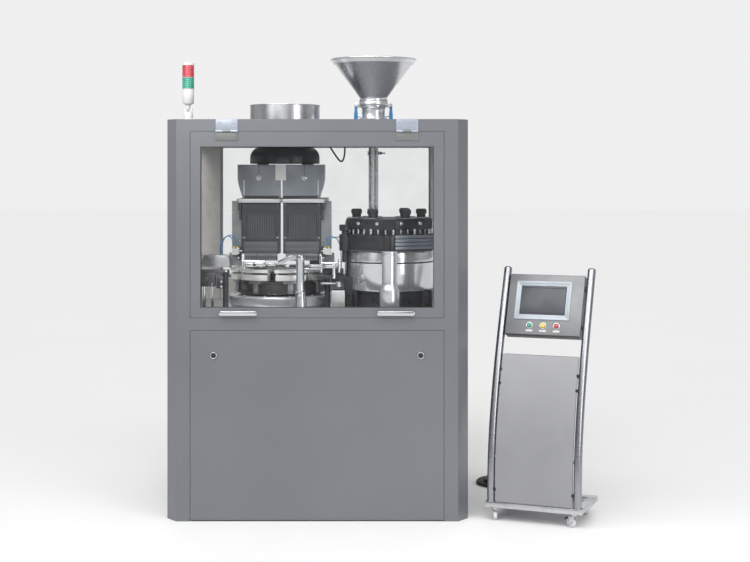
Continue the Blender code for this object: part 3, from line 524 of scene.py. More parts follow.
def smooth(points, samples):
    """A Catmull-Rom curve through the points."""
    route = [Vector(p) for p in points]
    route = [2 * route[0] - route[1], *route, 2 * route[-1] - route[-2]]
    path = []
    for before, start, end, after in zip(route, route[1:], route[2:], route[3:]):
        for step in range(samples):
            t = step / samples
            path.append(0.5 * (
                2 * start + (end - before) * t
                + (2 * before - 5 * start + 4 * end - after) * t * t
                + (3 * start - before - 3 * end + after) * t ** 3
            ))
    path.append(route[-2])
    return path


def upright(middle):
    """The foot of the upright axis through a middle."""
    return Vector((middle.x, middle.y, 0.0))


def about(middle, radius, angle):
    """The X and Y of a point round an upright axis."""
    return middle.x + radius * math.cos(angle), middle.y + radius * math.sin(angle)


def arc(x, y, radius, start, end, steps):
    """Points on an arc, with its angles in degrees."""
    angles = [math.radians(start + (end - start) * i / steps) for i in range(steps + 1)]
    return [(x + radius * math.cos(a), y + radius * math.sin(a)) for a in angles]


def rounded(x0, y0, x1, y1, radius, steps=5):
    """A rectangle with round corners."""
    corners = ((x1, y1, 0), (x0, y1, 90), (x0, y0, 180), (x1, y0, 270))
    points = []
    for x, y, angle in corners:
        inside_x = x - radius if x == x1 else x + radius
        inside_y = y - radius if y == y1 else y + radius
        points += arc(inside_x, inside_y, radius, angle, angle + 90, steps)
    return points


def dress(material, *nodes):
    """Gives CAD nodes that stay in sight their finish."""
    for node in nodes:
        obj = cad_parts[node]
        obj.data.materials.clear()
        obj.data.materials.append(material)


# ---------------------------------------------------------------- stage, light and camera

FLOOR_HALF = 60.0
CAMERA_PLACE = (0.271, -7.19, 1.62)
CAMERA_LENS = 67.7
CAMERA_SHIFT = -0.141
BACKDROP = (0.870, 0.870, 0.870)
STUDIO_STRENGTH = 0.60
# Bearings run from the front (0) by the left (0.25), the rear (0.5) and the right (0.75) to the front again.
STUDIO_WALLS = (
    (0.00, 1.45), (0.03, 1.30), (0.045, 0.25), (0.085, 0.30), (0.10, 1.60), (0.13, 1.50), (0.15, 0.18),
    (0.20, 0.28),
    (0.24, 0.70), (0.33, 0.75), (0.37, 0.30), (0.43, 1.20), (0.57, 1.20), (0.63, 0.35), (0.67, 0.80),
    (0.76, 0.80),
    (0.80, 0.22), (0.85, 0.20), (0.87, 1.60), (0.90, 1.50), (0.915, 0.30), (0.955, 0.25), (0.97, 1.30),
    (1.00, 1.45),
)
STUDIO_HEIGHT = ((0.00, 0.55), (0.46, 0.62), (0.52, 0.72), (0.60, 1.05), (0.80, 1.30), (1.00, 1.45))


def make_floor():
    data = bpy.data.meshes.new("floor")
    half = FLOOR_HALF
    data.from_pydata(
        [(-half, -half, 0.0), (half, -half, 0.0), (half, half, 0.0), (-half, half, 0.0)], [], [(0, 1, 2, 3)],
    )
    floor = bpy.data.objects.new("floor", data)
    bpy.context.scene.collection.objects.link(floor)
    material = finish(
        "studio_floor", (0.885, 0.885, 0.885), 0.75, shade=0.006, patch=0.8, grain=(60, 60, 60), dull=0.02,
        depth=0.0,
    )
    data.materials.append(material)


def make_world():
    """A studio all round: a pale backdrop to look at, and bright and dim walls to be reflected."""
    world = bpy.data.worlds.new("studio")
    bpy.context.scene.world = world
    world.use_nodes = True
    nodes, links = world.node_tree.nodes, world.node_tree.links
    nodes.clear()
    place = nodes.new("ShaderNodeTexCoord").outputs["Generated"]
    split = nodes.new("ShaderNodeSeparateXYZ")
    links.new(place, split.inputs["Vector"])
    bearing = nodes.new("ShaderNodeMath")
    bearing.operation = "ARCTAN2"
    links.new(split.outputs["X"], bearing.inputs[0])
    links.new(split.outputs["Y"], bearing.inputs[1])
    turn = nodes.new("ShaderNodeMapRange")
    turn.inputs["From Min"].default_value = -math.pi
    turn.inputs["From Max"].default_value = math.pi
    links.new(bearing.outputs["Value"], turn.inputs["Value"])
    walls = ramp(nodes, links, turn.outputs["Result"], STUDIO_WALLS)
    rise = nodes.new("ShaderNodeMapRange")
    rise.inputs["From Min"].default_value = -1.0
    links.new(split.outputs["Z"], rise.inputs["Value"])
    height = ramp(nodes, links, rise.outputs["Result"], STUDIO_HEIGHT)
    product = nodes.new("ShaderNodeVectorMath")
    product.operation = "MULTIPLY"
    links.new(walls, product.inputs[0])
    links.new(height, product.inputs[1])
    lit = nodes.new("ShaderNodeBackground")
    links.new(product.outputs["Vector"], lit.inputs["Color"])
    lit.inputs["Strength"].default_value = STUDIO_STRENGTH
    seen = nodes.new("ShaderNodeBackground")
    seen.inputs["Color"].default_value = (*BACKDROP, 1.0)
    path = nodes.new("ShaderNodeLightPath")
    mix = nodes.new("ShaderNodeMixShader")
    links.new(path.outputs["Is Camera Ray"], mix.inputs["Fac"])
    links.new(lit.outputs["Background"], mix.inputs[1])
    links.new(seen.outputs["Background"], mix.inputs[2])
    out = nodes.new("ShaderNodeOutputWorld")
    links.new(mix.outputs["Shader"], out.inputs["Surface"])


def ramp(nodes, links, value, stops):
    """A grey level that follows a value from 0 to 1."""
    node = nodes.new("ShaderNodeValToRGB")
    elements = node.color_ramp.elements
    while len(elements) < len(stops):
        elements.new(0.5)
    for element, (position, level) in zip(elements, stops):
        element.position = position
        element.color = (level, level, level, 1.0)
    links.new(value, node.inputs["Fac"])
    return node.outputs["Color"]


def make_sun(name, strength, spread_angle, tilt, turn):
    light = bpy.data.lights.new(name, "SUN")
    light.energy = strength
    light.angle = math.radians(spread_angle)
    sun = bpy.data.objects.new(name, light)
    sun.rotation_euler = (math.radians(tilt), 0.0, math.radians(turn))
    bpy.context.scene.collection.objects.link(sun)


def make_lamp(name, power, width, height, place, target):
    """A rectangular soft light at a place, turned to a target."""
    light = bpy.data.lights.new(name, "AREA")
    light.energy = power
    light.shape = "RECTANGLE"
    light.size = width
    light.size_y = height
    lamp = bpy.data.objects.new(name, light)
    lamp.location = place
    lamp.rotation_euler = (Vector(target) - Vector(place)).to_track_quat("-Z", "Y").to_euler()
    bpy.context.scene.collection.objects.link(lamp)


def make_camera():
    """Level, a little above the window's middle, straight at the cabinet's front."""
    data = bpy.data.cameras.new("camera")
    data.sensor_width = 36.0
    data.lens = CAMERA_LENS
    data.shift_y = CAMERA_SHIFT
    camera = bpy.data.objects.new("camera", data)
    camera.location = CAMERA_PLACE
    camera.rotation_euler = (math.radians(90), 0.0, 0.0)
    bpy.context.scene.collection.objects.link(camera)
    bpy.context.scene.camera = camera


def make_studio():
    bpy.context.scene.view_settings.view_transform = "Standard"
    make_floor()
    make_world()
    make_sun("key_sun", 1.05, 40, 42, -12)
    make_sun("fill_sun", 0.5, 60, 50, 40)
    make_lamp("top_light", 25.0, 1.6, 1.6, (-0.8, -1.4, 2.75), (-0.2, -0.6, 1.8))
    make_lamp("window_light", 14.0, 0.35, 2.0, (1.9, -2.4, 1.5), (0.0, -0.3, 1.25))
    make_camera()


# ---------------------------------------------------------------- cable

CABLE_RADIUS = 0.009
REST = CABLE_RADIUS + 0.0003
COIL_MIDDLE = Vector((0.945, 0.220, 0.0))
COIL_OUTER, COIL_INNER = 0.144, 0.072
LOWER_TURNS = 4
TURN_POINTS = 24


def cable_route():
    """From the gland down to the floor and round to the coil, as the CAD cable runs."""
    away = CONSOLE @ Vector((-0.050, 0.345, 0.0775))
    along = (CONSOLE.to_3x3() @ Vector((0.0, 1.0, 0.0))).normalized()
    return [
        away + along * 0.0006,
        away + along * 0.022,
        away + along * 0.044,
        away + along * 0.085 + Vector((0.0, 0.0, -0.024)),
        away + along * 0.130 + Vector((0.0, 0.0, -0.052)),
        away + along * 0.180 + Vector((0.0, 0.0, CABLE_RADIUS + 0.0017 - 0.0775)),
        Vector((1.172, -0.060, REST)),
        Vector((1.158, 0.004, REST)),
        Vector((1.124, 0.058, REST)),
        Vector((1.095, 0.104, REST)),
        Vector((1.089, 0.1455, REST)),
    ]


def ease(t):
    t = max(0.0, min(1.0, t))
    return t * t * (3.0 - 2.0 * t)


def coil_points():
    """Four turns inwards on the floor, then one turn outwards on top of them."""
    points = []
    for i in range(LOWER_TURNS * TURN_POINTS + 1):
        share = i / (LOWER_TURNS * TURN_POINTS)
        points.append((i, COIL_OUTER + (COIL_INNER - COIL_OUTER) * share, REST))
    for i in range(1, TURN_POINTS + 1):
        t = i / TURN_POINTS
        radius = COIL_INNER + (COIL_OUTER - COIL_INNER) * ease((t - 0.2) / 0.8)
        points.append((i, radius, REST + 2 * CABLE_RADIUS * ease(t / 0.2)))
    return [
        COIL_MIDDLE + Vector((
            radius * math.cos(2 * math.pi * i / TURN_POINTS),
            radius * math.sin(2 * math.pi * i / TURN_POINTS), z,
        ))
        for i, radius, z in points
    ]


def make_cable():
    route = smooth(cable_route(), 3)
    sleeve = Vector((COIL_MIDDLE.x + COIL_OUTER, 0.2987 + 0.012, REST + 2 * CABLE_RADIUS))
    coil = coil_points()
    between_coil_and_sleeve = [coil[-1].lerp(sleeve, share) for share in (0.33, 0.67, 1.0)]
    approach = [route[-1].lerp(coil[0], share) for share in (0.33, 0.67)]
    points = route + approach + coil + between_coil_and_sleeve
    curve = bpy.data.curves.new("power_cable", "CURVE")
    curve.dimensions = "3D"
    curve.bevel_depth = CABLE_RADIUS
    curve.bevel_resolution = 4
    curve.use_fill_caps = True
    curve.resolution_u = 4
    spline = curve.splines.new("NURBS")
    spline.points.add(len(points) - 1)
    for point, place in zip(spline.points, points):
        point.co = (*place, 1.0)
    spline.order_u = 4
    spline.use_endpoint_u = True
    curve.materials.append(RUBBER)
    cable = bpy.data.objects.new("power_cable", curve)
    bpy.context.scene.collection.objects.link(cable)
    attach(cable, "console")
    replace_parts(cable, "cable", "cable_coil")
    make_relief()
    make_connector()
    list(make_ties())


def make_relief():
    """The gland's hexagon nut and its ribbed, tapering bend relief."""
    start = CONSOLE @ Vector((-0.050, 0.3003, 0.0775))
    place = Matrix.Translation(start) @ Matrix.Rotation(CONSOLE_TURN, 4, "Z")
    place = place @ Matrix.Rotation(-math.pi / 2, 4, "X")
    form = Form(place)
    form.prism(
        [(0.0172 * math.cos(a), 0.0172 * math.sin(a)) for a in (math.pi / 3 * i for i in range(6))], 0.0,
        0.013, round_by=0.0012,
    )
    profile = [(0.0, 0.012), (0.0145, 0.012), (0.0150, 0.016)]
    for rib in range(6):
        low = 0.016 + rib * 0.0045
        radius = 0.0148 - rib * 0.0006
        profile += [
            (radius, low), (radius, low + 0.0026), (radius - 0.0018, low + 0.0031),
            (radius - 0.0018, low + 0.0042),
        ]
    profile += [(0.0112, 0.0435), (0.0103, 0.045), (0.0, 0.045)]
    form.turn(profile, (0.0, 0.0, 0.0), 32)
    relief = form.piece("cable_strain_relief", BLACK, "console", "black_plastic")
    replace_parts(relief, "cable_gland")
    return relief


def make_connector():
    """An industrial plug's hood: a sleeve, a body with ribs, two side latches and a rim."""
    low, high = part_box("cable_connector")
    x = (low[0] + high[0]) / 2
    sleeve_end, back = low[1], high[1]
    hood_start = back - 0.072
    middle = REST + 2 * CABLE_RADIUS
    form = Form()
    profile = [(0.0, 0.0), (0.0105, 0.0), (0.0118, 0.0015), (0.0118, 0.006), (0.0108, 0.007), (0.0108, 0.011)]
    profile += [(0.0120, 0.012), (0.0120, 0.024), (0.0, 0.024)]
    place = Matrix.Translation((x, sleeve_end, middle)) @ Matrix.Rotation(-math.pi / 2, 4, "X")
    form.turn(profile, place, 32)
    form.block(
        (low[0] + 0.001, hood_start, 0.0008), (high[0] - 0.001, back - 0.010, 0.0435), 0.004, segments=3,
    )
    form.block((low[0], back - 0.012, 0.0005), (high[0], back, 0.0445), 0.002)
    for side in (-1, 1):
        face = x + side * 0.0165
        form.block((face - 0.0015, back - 0.030, 0.014), (face + 0.0015, back - 0.006, 0.031), 0.0006)
    for rib in range(4):
        y = hood_start + 0.010 + rib * 0.006
        form.block((x - 0.012, y, 0.0425), (x + 0.012, y + 0.0025, 0.0442), 0.0005)
    hood = form.piece("cable_plug_hood", BLACK, "console", "black_plastic")
    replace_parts(hood, "cable_connector")
    return hood


def make_ties():
    """Two straps that hold the coil together."""
    ties = []
    for index, angle in enumerate((100.0, 250.0)):
        turn = Matrix.Translation(COIL_MIDDLE) @ Matrix.Rotation(math.radians(angle), 4, "Z")
        inner, outer = COIL_INNER - CABLE_RADIUS, COIL_OUTER + CABLE_RADIUS
        top = 0.0365 if index else 0.0300
        form = Form(turn)
        band = 0.0008
        shell = rounded(inner - 0.0005, 0.0002, outer - 0.0005, top, 0.007)
        hole = rounded(inner + band, band, outer - 0.0005 - band, top - band, 0.0062)
        for i in range(len(shell)):
            j = (i + 1) % len(shell)
            form.prism([shell[i], shell[j], hole[j], hole[i]], -0.009, 0.009, plane="XZ")
        ties.append(form.piece(f"cable_tie_{index}", RUBBER, "console", "black_rubber"))
    return ties


# ---------------------------------------------------------------- cabinet

def dress_frame():
    """The finishes of the CAD nodes whose shape stays."""
    dress(
        PAINT, "front_surround", "rear_surround", "roof_panel", "side_panel_left", "side_panel_right",
        "lower_front_panel", "front_window_frame",
    )
    dress(DARK_PAINT, "base_frame", "gear_motor")
    dress(GLASS, "front_window_pane", "rear_window", "left_window", "right_window")
    dress(BRUSHED, "dosing_disc", "cam_shaft", "discharge_chute", "console_frame")
    dress(ALUMINIUM, "table_plate")
    dress(ALUMINIUM_DARK, "feeder_column")
    dress(BLACK, "dosing_cover_plate", "tamping_head")
    dress(CHARCOAL, "magazine_left", "magazine_right")
    dress(SMOKED, "capsule_funnels")


def ring_strip(form, x0, z0, x1, z1, width, front, back):
    """A flat rectangular ring in the XZ plane, outside the given opening."""
    form.block((x0 - width, front, z0 - width), (x0, back, z1 + width), 0.0)
    form.block((x1, front, z0 - width), (x1 + width, back, z1 + width), 0.0)
    form.block((x0, front, z1), (x1, back, z1 + width), 0.0)
    form.block((x0, front, z0 - width), (x1, back, z0), 0.0)


def make_gaskets_and_seam_shade():
    """Rubber in the seams of the window's frame and the lower panel, and the pane's glazing bead. The seam
    rubber is a seal whose black also paints the seams' shade.
    """
    form = Form()
    # Black strips set back in the seams: a seal, and painted shade of the seams
    seam = 0.0014
    ring_strip(
        form, DOOR_LOW[0], DOOR_LOW[2], DOOR_HIGH[0], DOOR_HIGH[2], seam, FACE_Y + 0.006, FACE_Y + 0.028,
    )
    form.piece("window_seam_gasket_and_shade", RUBBER, "cabinet", "black_rubber")
    form = Form()
    form.block(
        (PANEL_LOW[0] - seam, FACE_Y + 0.006, 0.02), (PANEL_LOW[0], FACE_Y + 0.024, PANEL_HIGH[2]), 0.0,
    )
    form.block(
        (PANEL_HIGH[0], FACE_Y + 0.006, 0.02), (PANEL_HIGH[0] + seam, FACE_Y + 0.024, PANEL_HIGH[2]), 0.0,
    )
    form.block(
        (PANEL_LOW[0], FACE_Y + 0.006, PANEL_HIGH[2] + 0.0001),
        (PANEL_HIGH[0], FACE_Y + 0.024, PANEL_HIGH[2] + seam), 0.0,
    )
    form.piece("panel_seam_gasket_and_shade", RUBBER, "cabinet", "black_rubber")
    glass_low, glass_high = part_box("front_window_pane")
    inset = 0.0165
    form = Form()
    ring_strip(
        form, glass_low[0] + inset, glass_low[2] + inset, glass_high[0] - inset, glass_high[2] - inset,
        0.0012,
        FACE_Y + 0.004, glass_low[1] - 0.0002,
    )
    form.piece("window_glazing_bead", CHARCOAL, "front_window", "charcoal_plastic")


HINGE_HALF = 0.0515
HINGE_MIDDLES = (-0.423, 0.422)
HINGE_Z = 1.8265
KNUCKLE = 0.0056


def make_window_hinges():
    """Two leaf hinges: the upper leaf on the surround, the lower one on the window's frame."""
    knuckle_y = FACE_Y - 0.006
    for index, x in enumerate(HINGE_MIDDLES):
        upper = Form()
        upper.block(
            (x - HINGE_HALF, FACE_Y - 0.0032, HINGE_Z + 0.003), (x + HINGE_HALF, FACE_Y, ROOF_TOP - 0.001),
            0.0008,
        )
        for side in (-1, 1):
            near, far = x + side * 0.019, x + side * HINGE_HALF
            upper.rod((near, knuckle_y, HINGE_Z), (far, knuckle_y, HINGE_Z), KNUCKLE, round_by=0.0006)
            for height in (0.020, 0.040):
                upper.rod(
                    (x + side * 0.034, FACE_Y - 0.0042, HINGE_Z + height),
                    (x + side * 0.034, FACE_Y - 0.001, HINGE_Z + height),
                    0.0042, round_by=0.0006, steps=20,
                )
        upper.piece(f"window_hinge_upper_{index}", HINGE_BLUE, "cabinet", "polished_steel")
        lower = Form()
        lower.block(
            (x - HINGE_HALF, FACE_Y - 0.0032, HINGE_Z - 0.044), (x + HINGE_HALF, FACE_Y, HINGE_Z - 0.003),
            0.0008,
        )
        lower.rod(
            (x - 0.0185, knuckle_y, HINGE_Z), (x + 0.0185, knuckle_y, HINGE_Z), KNUCKLE, round_by=0.0006,
        )
        for side in (-1, 1):
            lower.rod(
                (x + side * 0.034, FACE_Y - 0.0042, HINGE_Z - 0.024),
                (x + side * 0.034, FACE_Y - 0.001, HINGE_Z - 0.024),
                0.0042, round_by=0.0006, steps=20,
            )
        lower.piece(f"window_hinge_lower_{index}", HINGE_GREY, "front_window", "brushed_steel")


def make_window_handles():
    """Two flat bar handles on the window's lower rail, each on two short posts."""
    half_length, half_height, z = 0.089, 0.0105, 0.975
    for index, x in enumerate((-0.369, 0.368)):
        form = Form()
        outline = arc(x + half_length - half_height, z, half_height, -90, 90, 10)
        outline += arc(x - half_length + half_height, z, half_height, 90, 270, 10)
        form.prism(outline, FACE_Y - 0.024, FACE_Y - 0.016, plane="XZ", round_by=0.0022)
        for side in (-1, 1):
            post = x + side * 0.066
            form.rod((post, FACE_Y - 0.017, z), (post, FACE_Y - 0.001, z), 0.0055)
            form.rod((post, FACE_Y - 0.004, z), (post, FACE_Y, z), 0.0085, round_by=0.0008)
        form.piece(f"window_handle_{index}", POLISHED, "front_window", "polished_steel")


def make_locks():
    """Quarter-turn locks: a bright rim, a dark dished face and a raised key bar."""
    for name in ("left", "right"):
        node = f"panel_lock_{name}"
        middle = middle_of(node)
        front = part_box(node)[0][1]
        place = Matrix.Translation((middle.x, front, 0.777)) @ Matrix.Rotation(-math.pi / 2, 4, "X")
        form = Form(place)
        form.turn(
            [(0.0, 0.034), (0.012, 0.034), (0.012, 0.022), (0.0165, 0.020), (0.0170, 0.018), (0.0170, 0.0014),
             (0.0158, 0.0), (0.0138, 0.0), (0.0128, 0.0014), (0.0, 0.0020)],
            (0.0, 0.0, 0.0), 40,
        )
        form.block((-0.008, -0.045, 0.0335), (0.008, 0.008, 0.0375), 0.001)
        rim = form.piece(f"lock_{name}_rim", POLISHED, f"lock_{name}", "polished_steel")
        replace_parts(rim, node)
        key = Form(place)
        key.turn([(0.0, 0.0010), (0.0118, 0.0010), (0.0122, 0.0018), (0.0, 0.0024)], (0.0, 0.0, 0.0), 32)
        key.block((-0.0030, -0.0096, -0.0016), (0.0030, 0.0096, 0.0018), 0.0008)
        key.piece(f"lock_{name}_key_face", BLACK, f"lock_{name}", "black_plastic")


def make_side_frames():
    """Painted rims and pull knobs of the two lift-off side windows."""
    for side, name in ((-1, "left_window"), (1, "right_window")):
        low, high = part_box(name)
        inner = side * 0.6925
        outer = side * (SIDE_X - 0.0008)
        x0, x1 = min(inner, outer), max(inner, outer)
        width = 0.045
        form = Form()
        for y0, y1, z0, z1 in (
            (low[1], low[1] + width, low[2], high[2]), (high[1] - width, high[1], low[2], high[2]),
            (low[1] + width, high[1] - width, low[2], low[2] + width),
            (low[1] + width, high[1] - width, high[2] - width, high[2]),
        ):
            form.block((x0, y0, z0), (x1, y1, z1), 0.0)
        form.piece(f"{name}_rim", PAINT, name, "grey_paint")
        knobs = Form()
        for y in (low[1] + 0.022, high[1] - 0.022):
            for z in (low[2] + 0.10, high[2] - 0.10):
                knobs.turn(
                    [(0.0, 0.0), (0.0125, 0.0), (0.0125, 0.0006), (0.0, 0.0007)],
                    Matrix.Translation((outer, y, z)) @ Matrix.Rotation(side * math.pi / 2, 4, "Y"), 28,
                )
        knobs.piece(f"{name}_fasteners", POLISHED, name, "polished_steel")


def make_rear_fittings():
    """The rear window's rim, its two hinge leaves, and a thin dark line along its grip that paints the grip's
    shade.
    """
    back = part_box("rear_surround")[1][1]
    glass_low, glass_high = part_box("rear_window")
    rim = Form()
    front_y, back_y = glass_high[1] + 0.0002, back - 0.0015
    ring_strip(
        rim, glass_low[0] + 0.030, glass_low[2] + 0.030, glass_high[0] - 0.030, glass_high[2] - 0.030, 0.0299,
        front_y, back_y,
    )
    rim.piece("rear_window_rim", BRUSHED, "rear_window", "brushed_steel")
    for index, x in enumerate((-0.40, 0.40)):
        hinge = Form()
        hinge.block(
            (x - 0.05, back - 0.0014, glass_high[2] - 0.028),
            (x + 0.05, back - 0.0002, glass_high[2] - 0.001), 0.0004,
        )
        hinge.piece(f"rear_hinge_leaf_{index}", POLISHED, "rear_window", "polished_steel")
    # A thin dark rod along the grip: painted shade of the grip's edge
    grip_shade = Form()
    grip_shade.tube(
        [(-0.07, back - 0.002, glass_low[2] + 0.015), (-0.068, back - 0.0008, glass_low[2] + 0.015),
         (0.068, back - 0.0008, glass_low[2] + 0.015), (0.07, back - 0.002, glass_low[2] + 0.015)], 0.0007,
         8, 3,
    )
    grip_shade.piece("rear_window_grip_shade_line", CHARCOAL, "rear_window", "charcoal_plastic")


# ---------------------------------------------------------------- on the roof

def lens_profile(radius, low, high, ribs):
    profile = [(0.0, low), (radius - 0.001, low)]
    pitch = (high - low) / ribs
    for rib in range(ribs):
        z = low + rib * pitch
        profile += [(radius - 0.0012, z + 0.15 * pitch), (radius, z + 0.4 * pitch), (radius, z + 0.6 * pitch)]
        profile += [(radius - 0.0012, z + 0.85 * pitch)]
    return profile


def make_signal_lamp():
    base = upright(LAMP)
    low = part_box("signal_post")[0]
    body = Form()
    body.turn(
        [(0.0, low[2]), (0.030, low[2]), (0.030, 1.889), (0.0285, 1.8935), (0.023, 1.897), (0.0225, 1.926),
         (0.020, 1.930), (0.0115, 1.935), (0.0115, 1.961), (0.016, 1.965), (0.0235, 1.9675), (0.0280, 1.974),
         (0.0280, 2.036), (0.0268, 2.0385), (0.0268, 2.0412), (0.0, 2.0412)],
        base, 48,
    )
    body.block((base.x - 0.006, base.y - 0.024, 1.930), (base.x + 0.006, base.y + 0.024, 1.957), 0.0025)
    body.block((base.x - 0.020, base.y - 0.0065, 1.898), (base.x + 0.020, base.y + 0.0065, 1.950), 0.003)
    white = body.piece("lamp_body", WHITE, "cabinet", "white_plastic")
    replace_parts(white, "signal_post")
    screw = Form()
    screw.rod(
        (base.x - 0.004, base.y - 0.027, 1.943), (base.x - 0.004, base.y - 0.0235, 1.943), 0.0075,
        round_by=0.0012,
    )
    screw.rod(
        (base.x - 0.004, base.y + 0.0235, 1.943), (base.x - 0.004, base.y + 0.027, 1.943), 0.0075,
        round_by=0.0012,
    )
    for angle in (45, 135, 225, 315):
        x = base.x + 0.0255 * math.cos(math.radians(angle))
        y = base.y + 0.0255 * math.sin(math.radians(angle))
        screw.rod((x, y, low[2] + 0.004), (x, y, low[2] + 0.0085), 0.003, round_by=0.0006, steps=16)
    screw.piece("lamp_screws", BRUSHED, "cabinet", "brushed_steel")
    green = Form()
    profile = lens_profile(0.0295, 2.0418, 2.0955, 6)
    green.turn([*profile, (0.0275, 2.0960), (0.0, 2.0960)], base, 56)
    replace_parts(green.piece("lamp_green", GREEN_LENS, "cabinet", "green_lens"), "signal_lens_green")
    red = Form()
    profile = lens_profile(0.0295, 2.0975, 2.1510, 6)
    red.turn([*profile, (0.0283, 2.1515), (0.0283, 2.1560), (0.0, 2.1560)], base, 56)
    cap = Form()
    cap.turn(
        [(0.0, 2.1558), (0.0288, 2.1558), (0.0290, 2.1600), (0.0285, 2.1655), (0.0265, 2.1675),
         (0.0, 2.1680)], base, 56,
    )
    for z in (2.0965, 2.0412):
        cap.turn(
            [(0.0240, z - 0.0008), (0.0298, z - 0.0008), (0.0298, z + 0.0010), (0.0240, z + 0.0010)], base,
            56, closed=True,
        )
    cap.piece("lamp_rings", WHITE, "cabinet", "white_plastic")
    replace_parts(red.piece("lamp_red", RED_LENS, "cabinet", "red_lens"), "signal_lens_red")


def make_drum():
    """The capsule drum, with a rolled rim and a weld line, and the black outlet housing under the roof."""
    low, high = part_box("capsule_drum")
    radius = 0.1735
    place = upright(DRUM)
    rim = [
        (radius + 0.0005 + 0.0024 * math.cos(a), high[2] - 0.0026 + 0.0026 * math.sin(a))
        for a in (math.radians(-120 + 30 * i) for i in range(8))
    ]
    form = Form()
    form.turn(
        [(0.058, low[2]), (radius - 0.004, low[2]), (radius, low[2] + 0.004), (radius, 1.8835),
         (radius + 0.0009, 1.8845),
         (radius + 0.0009, 1.8870), (radius, 1.8880), *rim, (radius - 0.003, high[2] - 0.003),
         (radius - 0.003, low[2] + 0.006), (radius - 0.007, low[2] + 0.003), (0.058, low[2] + 0.003)],
        place, 112, closed=True,
    )
    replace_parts(form.piece("drum_shell", SPUN_DRUM, "cabinet", "polished_steel"), "capsule_drum")
    collar = Form()
    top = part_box("roof_panel")[1][2]
    collar.turn(
        [(radius + 0.001, top + 0.0002), (radius + 0.012, top + 0.0002), (radius + 0.012, top + 0.003),
         (radius + 0.010, top + 0.0042), (radius + 0.001, top + 0.0042)],
        place, 96, closed=True,
    )
    collar.piece("drum_roof_collar", RUBBER, "cabinet", "black_rubber")
    low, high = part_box("drum_cover")
    cover = Form()
    crown = [
        (0.109 + 0.0645 * math.sin(math.radians(a)), high[2] - 0.058 + 0.058 * math.cos(math.radians(a)))
        for a in range(0, 91, 9)
    ]
    cover.turn(
        [(0.058, high[2]), *crown, (radius, low[2] + 0.002), (radius - 0.002, low[2]), (0.058, low[2])],
        place, 96, closed=True,
    )
    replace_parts(cover.piece("drum_outlet_housing", BLACK, "cabinet", "black_plastic"), "drum_cover")
    strip = Form()
    front = DRUM.y - radius
    strip.block(
        (DRUM.x - 0.030, front - 0.0035, low[2] + 0.004), (DRUM.x + 0.030, front + 0.010, low[2] + 0.030),
        0.002,
    )
    for side in (-1, 1):
        strip.rod(
            (DRUM.x + side * 0.022, front - 0.0052, low[2] + 0.017),
            (DRUM.x + side * 0.022, front - 0.003, low[2] + 0.017),
            0.0042, round_by=0.0006, steps=18,
        )
    strip.piece("drum_outlet_latch", CHARCOAL, "cabinet", "charcoal_plastic")


